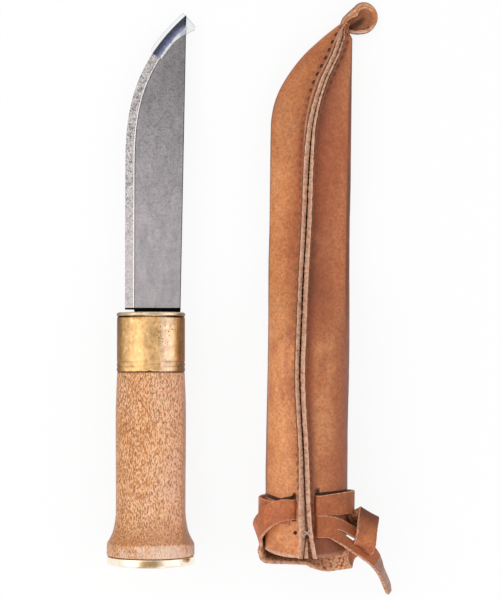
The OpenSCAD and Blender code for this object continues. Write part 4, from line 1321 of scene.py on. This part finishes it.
def add_strap(shape, frames, kinds=TOP_KIND, low=-1.0, high=1.0, seed=0.0, shade_amount=None, wear_and_shade=None):
    """A strap along frames, with painted shade on its first face and on its second, frame by frame."""
    rings, grime = [], []
    for i, (centre, w, up, width) in enumerate(frames):
        span = (low[i], high[i]) if isinstance(low, list) else (low, high)
        rings.append(strap_ring(centre, w, up, width, seed + i * 0.35, *span))
        face = [shade_amount[i] * share if shade_amount else 0.0 for share in SHADE_ACROSS]
        grime += face + [0.0] * 3 + [wear_and_shade[i] if wear_and_shade else 0.0] * SPANS + [0.0] * 3
    corners, faces = loft(rings)
    shape.join(corners, faces, kinds * (len(rings) - 1) + [CUT_EDGE] * 2, grime=grime)


def flipped(kinds):
    """The same strap with its flesh side up."""
    other = {GRAIN_SIDE: FLESH_SIDE, FLESH_SIDE: GRAIN_SIDE}
    return [other.get(kind, kind) for kind in kinds]


def dive(way, y, a, width=STRAP_WIDTH):
    """First stations of a strap out of a slit at angle a, on the left (-1) or right (1) of the seam."""
    x, _, z = wrap(y, a, 0)
    up = STRAP_CLEARANCE + STRAP / 2
    return [((x, y, z - LEATHER - 0.6), (0, 1, 0), width),
            ((x + way * 0.1, y, z - 0.3), (0, 1, 0), width),
            ((x + way * 1.3, y, z + up - 0.1), (0, 1, 0), width)]


def make_choke():
    out = STRAP_CLEARANCE + STRAP / 2
    stations = [
        (50, -0.3, 0.4), (20, 0.2, 1.0), (0, 0.2, 1.2), (-20, 0, 1.0), (-50, -0.6, 0.2), (-90, -1.3, 0),
        (-130, -2, 0.2), (-160, -2.7, 0.8), (-180, -3.2, 1.0), (-200, -3.6, 0.6), (-225, -4.3, 0.1),
        (-250, -4.8, 0),
    ]
    line = dive(1, BAND_AT - 0.9, 79, STRAP_WIDTH * 0.91)
    line += [(wrap(BAND_AT + shift, a, out + lift), (0, 1, 0), STRAP_WIDTH) for a, shift, lift in stations]
    shape = Shape()
    add_strap(shape, ribbon(line), seed=3.0)
    shape.piece("choke_band", "sheath", STRAP_SIDES, 50.0)


def make_belt_loop():
    out = STRAP_CLEARANCE + STRAP / 2
    over = out + STRAP + STRAP_CLEARANCE + 0.2
    right = HALF_W
    through = (0.65, -0.63, -0.44)
    fold = (0.87, -0.49, 0)
    low = STRAP_WIDTH / 2
    back = [
        (116, 19.9, over + 0.2, (-0.25, 1, 0)), (131, 18.2, over + 0.5, (-0.3, 1, -0.1)),
        (146, 14.9, over + 0.6, (-0.3, 0.85, -0.35)), (172, 10.2, over, (-0.29, 0.54, -0.78)),
    ]
    on_edge = [
        ((-right - 1.5, 5.5, low + 8), (0.2, 0.1, -1)), ((-right - 1.1, 2.2, low + 6), (0.24, 0.1, -1)),
        ((-right - 0.2, -0.3, low + 4.2), (0.25, 0.25, -1)),
        ((-right + 2.2, -1.7, low + 2.8), (0.15, 0.35, -1)),
        ((-right / 2, -2.4, low + 1.2), (0, 0.3, -1)), ((-0.3, -2.6, low - 0.2), (0, 0.38, -1)),
        ((2.5, -3.1, low - 1), (0, 0.55, -0.85)), ((right / 2, -3.8, low - 2.9), (0, 0.84, -0.54)),
    ]
    knot = [
        ((right - 4.4, -3.2, low - 3.2), (-0.05, 0.96, -0.25)), ((right, -2.2, 3.6), (0.1, 0.95, 0.05)),
        ((right + 3.0, -1.3, 7.2), (0.45, 0.75, 0.3)), ((right + 5.0, 0.9, 12.0), (0.75, 0.1, 0.1)),
        ((right + 6.1, 3.6, 16.0), (0.7, -0.45, -0.3)), ((right + 6.9, 4.3, 20.2), through),
        ((right + 7.2, 5.2, 23.9), through), ((right + 7.8, 9.6, 25.7), (0.75, -0.55, -0.3)),
        ((right + 8.4, 14.6, 23.7), (0.85, -0.5, -0.1)), ((right + 9.0, 18.2, 19.8), fold),
        ((right + 7.6, 16.9, 16.6), (0.75, -0.62, 0)), ((right + 4.4, 14.9, 14.6), (0.5, -0.82, 0)),
        ((right + 2.0, 13.8, 10.8), (0.4, -0.9, 0)), ((right + 0.5, 13.2, 7.0), (0.3, -0.95, 0)),
    ]
    line = dive(-1, 20.1, 104, STRAP_WIDTH * 0.92)
    line += [(wrap(y, a, d), across, STRAP_WIDTH) for a, y, d, across in back]
    line += [(centre, across, STRAP_WIDTH) for centre, across in on_edge + knot]
    frames = ribbon(line)
    end = len(line) - 1
    # Painted shade by station: on the first face round the mouth's left side and at the tucked end, on the
    # second over the fold and the end
    shade = ((0, 0), (6.3, 0), (7.2, 0.6), (10.8, 0.55), (12.4, 0), (end - 4, 0), (end - 3, 0.7), (end, 0.8))
    worn_and_shaded = ((0, 0), (end - 7, 0), (end - 5.4, 0.25), (end - 4.2, 0.7), (end - 3, 0.7), (end, 0.7))
    shape = Shape()
    shade_amount, wear_and_shade = ([curve(table, i / STEPS) for i in range(len(frames))] for table in (shade, worn_and_shaded))
    add_strap(shape, frames, flipped(TOP_KIND), seed=11.0, shade_amount=shade_amount, wear_and_shade=wear_and_shade)
    shape.piece("belt_loop", "sheath", STRAP_SIDES, 50.0)


def make_tie_end():
    out = STRAP_CLEARANCE + STRAP / 2
    right = HALF_W
    slit = STRAP + 2 * STRAP_CLEARANCE
    wide = STRAP_WIDTH + 0.8
    start = BAND_AT - STRAP_WIDTH - 0.5
    line = dive(1, start, 79)[1:] + [
        (wrap(start, 66, out + 0.1), (0.05, 1, 0), STRAP_WIDTH),
        (wrap(start - 0.6, 57, out + 0.9), (0.15, 1, 0), STRAP_WIDTH),
        ((right - 1.4, 10.2, 26.0), (0.42, 0.9, -0.45), wide),
        ((right + 4.6, 6.0, 22.0), (0.58, 0.8, -0.6), wide),
        ((right + 11.4, -0.6, 16.8), (0.7, 0.6, -0.65), STRAP_WIDTH * 0.76),
        ((right + 15.0, -7.0, 10.8), (0.5, 0.36, -0.8), STRAP_WIDTH * 0.5),
        ((right + 17.6, -12.6, 5.0), (0.5, 0.3, -0.82), STRAP_WIDTH * 0.46),
        ((right + 19.0, -16.7, -0.6), (0.56, 0.3, -0.75), STRAP_WIDTH * 0.3),
    ]
    frames = ribbon(line)
    first, last, twist = int(3.3 * STEPS), int(5.8 * STEPS), int(6.25 * STEPS)
    gap = []
    for i, (_, _, _, width) in enumerate(frames):
        s = clamp((i - first) / (last - first))
        open_ = min(clamp(s / 0.85), clamp((1 - s) / 0.1) ** 0.5)
        gap.append(slit / 2 * open_ / (width / 2))
    shape = Shape()
    add_strap(shape, frames[:first + 1], seed=21.0)
    add_strap(shape, frames[last:twist + 1], seed=22.0)
    worn_and_shaded = [WORN_SIDE if kind == GRAIN_SIDE else kind for kind in TOP_KIND]
    add_strap(shape, frames[twist:], worn_and_shaded, seed=22.0 + 0.35 * (twist - last))
    inner = [max(share, 0.001) for share in gap[first:last + 1]]
    outer = [1.0] * len(inner)
    for low, high in (([-v for v in outer], [-v for v in inner]), (inner, outer)):
        add_strap(shape, frames[first:last + 1], low=low, high=high, seed=23.0)
    shape.piece("tie_end", "sheath", STRAP_SIDES + [STRAP_WORN], 50.0)


for make in (make_blade, make_plate, make_sleeve, make_handle, make_cap, make_guard, make_leather,
             make_thread, make_choke, make_belt_loop, make_tie_end):
    make()
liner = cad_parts["blade_liner"]
liner.data.materials.clear()
liner.data.materials.append(LINER)


# Floor, light and camera

def seen_directly(nodes):
    """1 where a camera, mirror or see-through ray asks, 0 where the light for the object is gathered."""
    path = nodes.add("LightPath")
    seen = nodes.math("MAXIMUM", path.outputs["Is Camera Ray"], path.outputs["Is Glossy Ray"])
    return seen.most(path.outputs["Is Transmission Ray"])


def make_floor():
    """Paper that is seen glowing white with a faint shadow, and that lights the object as grey paper."""
    size = 3.0
    mesh = bpy.data.meshes.new("floor")
    corners = [(-size, -size, 0), (size, -size, 0), (size, size, 0), (-size, size, 0)]
    mesh.from_pydata(corners, [], [(0, 1, 2, 3)])
    floor = bpy.data.objects.new("floor", mesh)
    bpy.context.scene.collection.objects.link(floor)
    material = bpy.data.materials.new("white_floor")
    material.use_nodes = True
    material.node_tree.nodes.clear()
    nodes = Nodes(material.node_tree)
    glow = nodes.add("Emission", Strength=0.88).outputs[0]
    faint = nodes.add("BsdfDiffuse", Color=(0.13, 0.13, 0.13, 1)).outputs[0]
    paper = nodes.add("BsdfDiffuse", Color=(0.6, 0.6, 0.6, 1)).outputs[0]
    both = nodes.call("AddShader", glow, faint)
    nodes.add("OutputMaterial", Surface=nodes.call("MixShader", seen_directly(nodes), paper, both))
    mesh.materials.append(material)


def make_world():
    """A white room, a little darker overhead, brighter where it is seen than where it gives light."""
    world = bpy.data.worlds.new("studio")
    bpy.context.scene.world = world
    world.use_nodes = True
    nodes = Nodes(world.node_tree)
    back = nodes.tree.nodes["Background"]
    split = nodes.add("SeparateXYZ", Vector=nodes.add("TexCoord").outputs["Generated"])
    ramp = nodes.add("ValToRGB", Fac=split.outputs["Z"])
    low, high = ramp.color_ramp.elements
    low.position, low.color = 0.35, (1.0, 1.0, 1.0, 1)
    high.position, high.color = 0.95, (0.72, 0.72, 0.73, 1)
    nodes.feed(back.inputs["Color"], ramp.outputs[0])
    nodes.feed(back.inputs["Strength"], seen_directly(nodes).line(0.0, 1.0, 0.68, 1.0))


def make_lamp(name, place, wide, high, watts):
    """A softbox that looks at the middle of the table."""
    data = bpy.data.lights.new(name, "AREA")
    data.shape = "RECTANGLE"
    data.size = wide
    data.size_y = high
    data.energy = watts
    lamp = bpy.data.objects.new(name, data)
    bpy.context.scene.collection.objects.link(lamp)
    lamp.location = place
    lamp.rotation_euler = Vector(place).to_track_quat("Z", "Y").to_euler()


make_floor()
make_world()
make_lamp("softbox_left", (-0.54, 0.05, 0.72), 1.6, 0.62, 3.2)
make_lamp("softbox_right", (0.65, 0.05, 0.63), 1.1, 0.6, 1.1)
make_lamp("softbox_front", (0.05, -0.8, 0.5), 0.5, 0.25, 1.0)

camera = bpy.data.objects.new("camera", bpy.data.cameras.new("camera"))
bpy.context.scene.collection.objects.link(camera)
camera.data.lens = 139.48
camera.data.sensor_width = 36
camera.location = (-0.00022, -0.00053, 1.0)
bpy.context.scene.camera = camera
bpy.context.scene.view_settings.view_transform = "Standard"
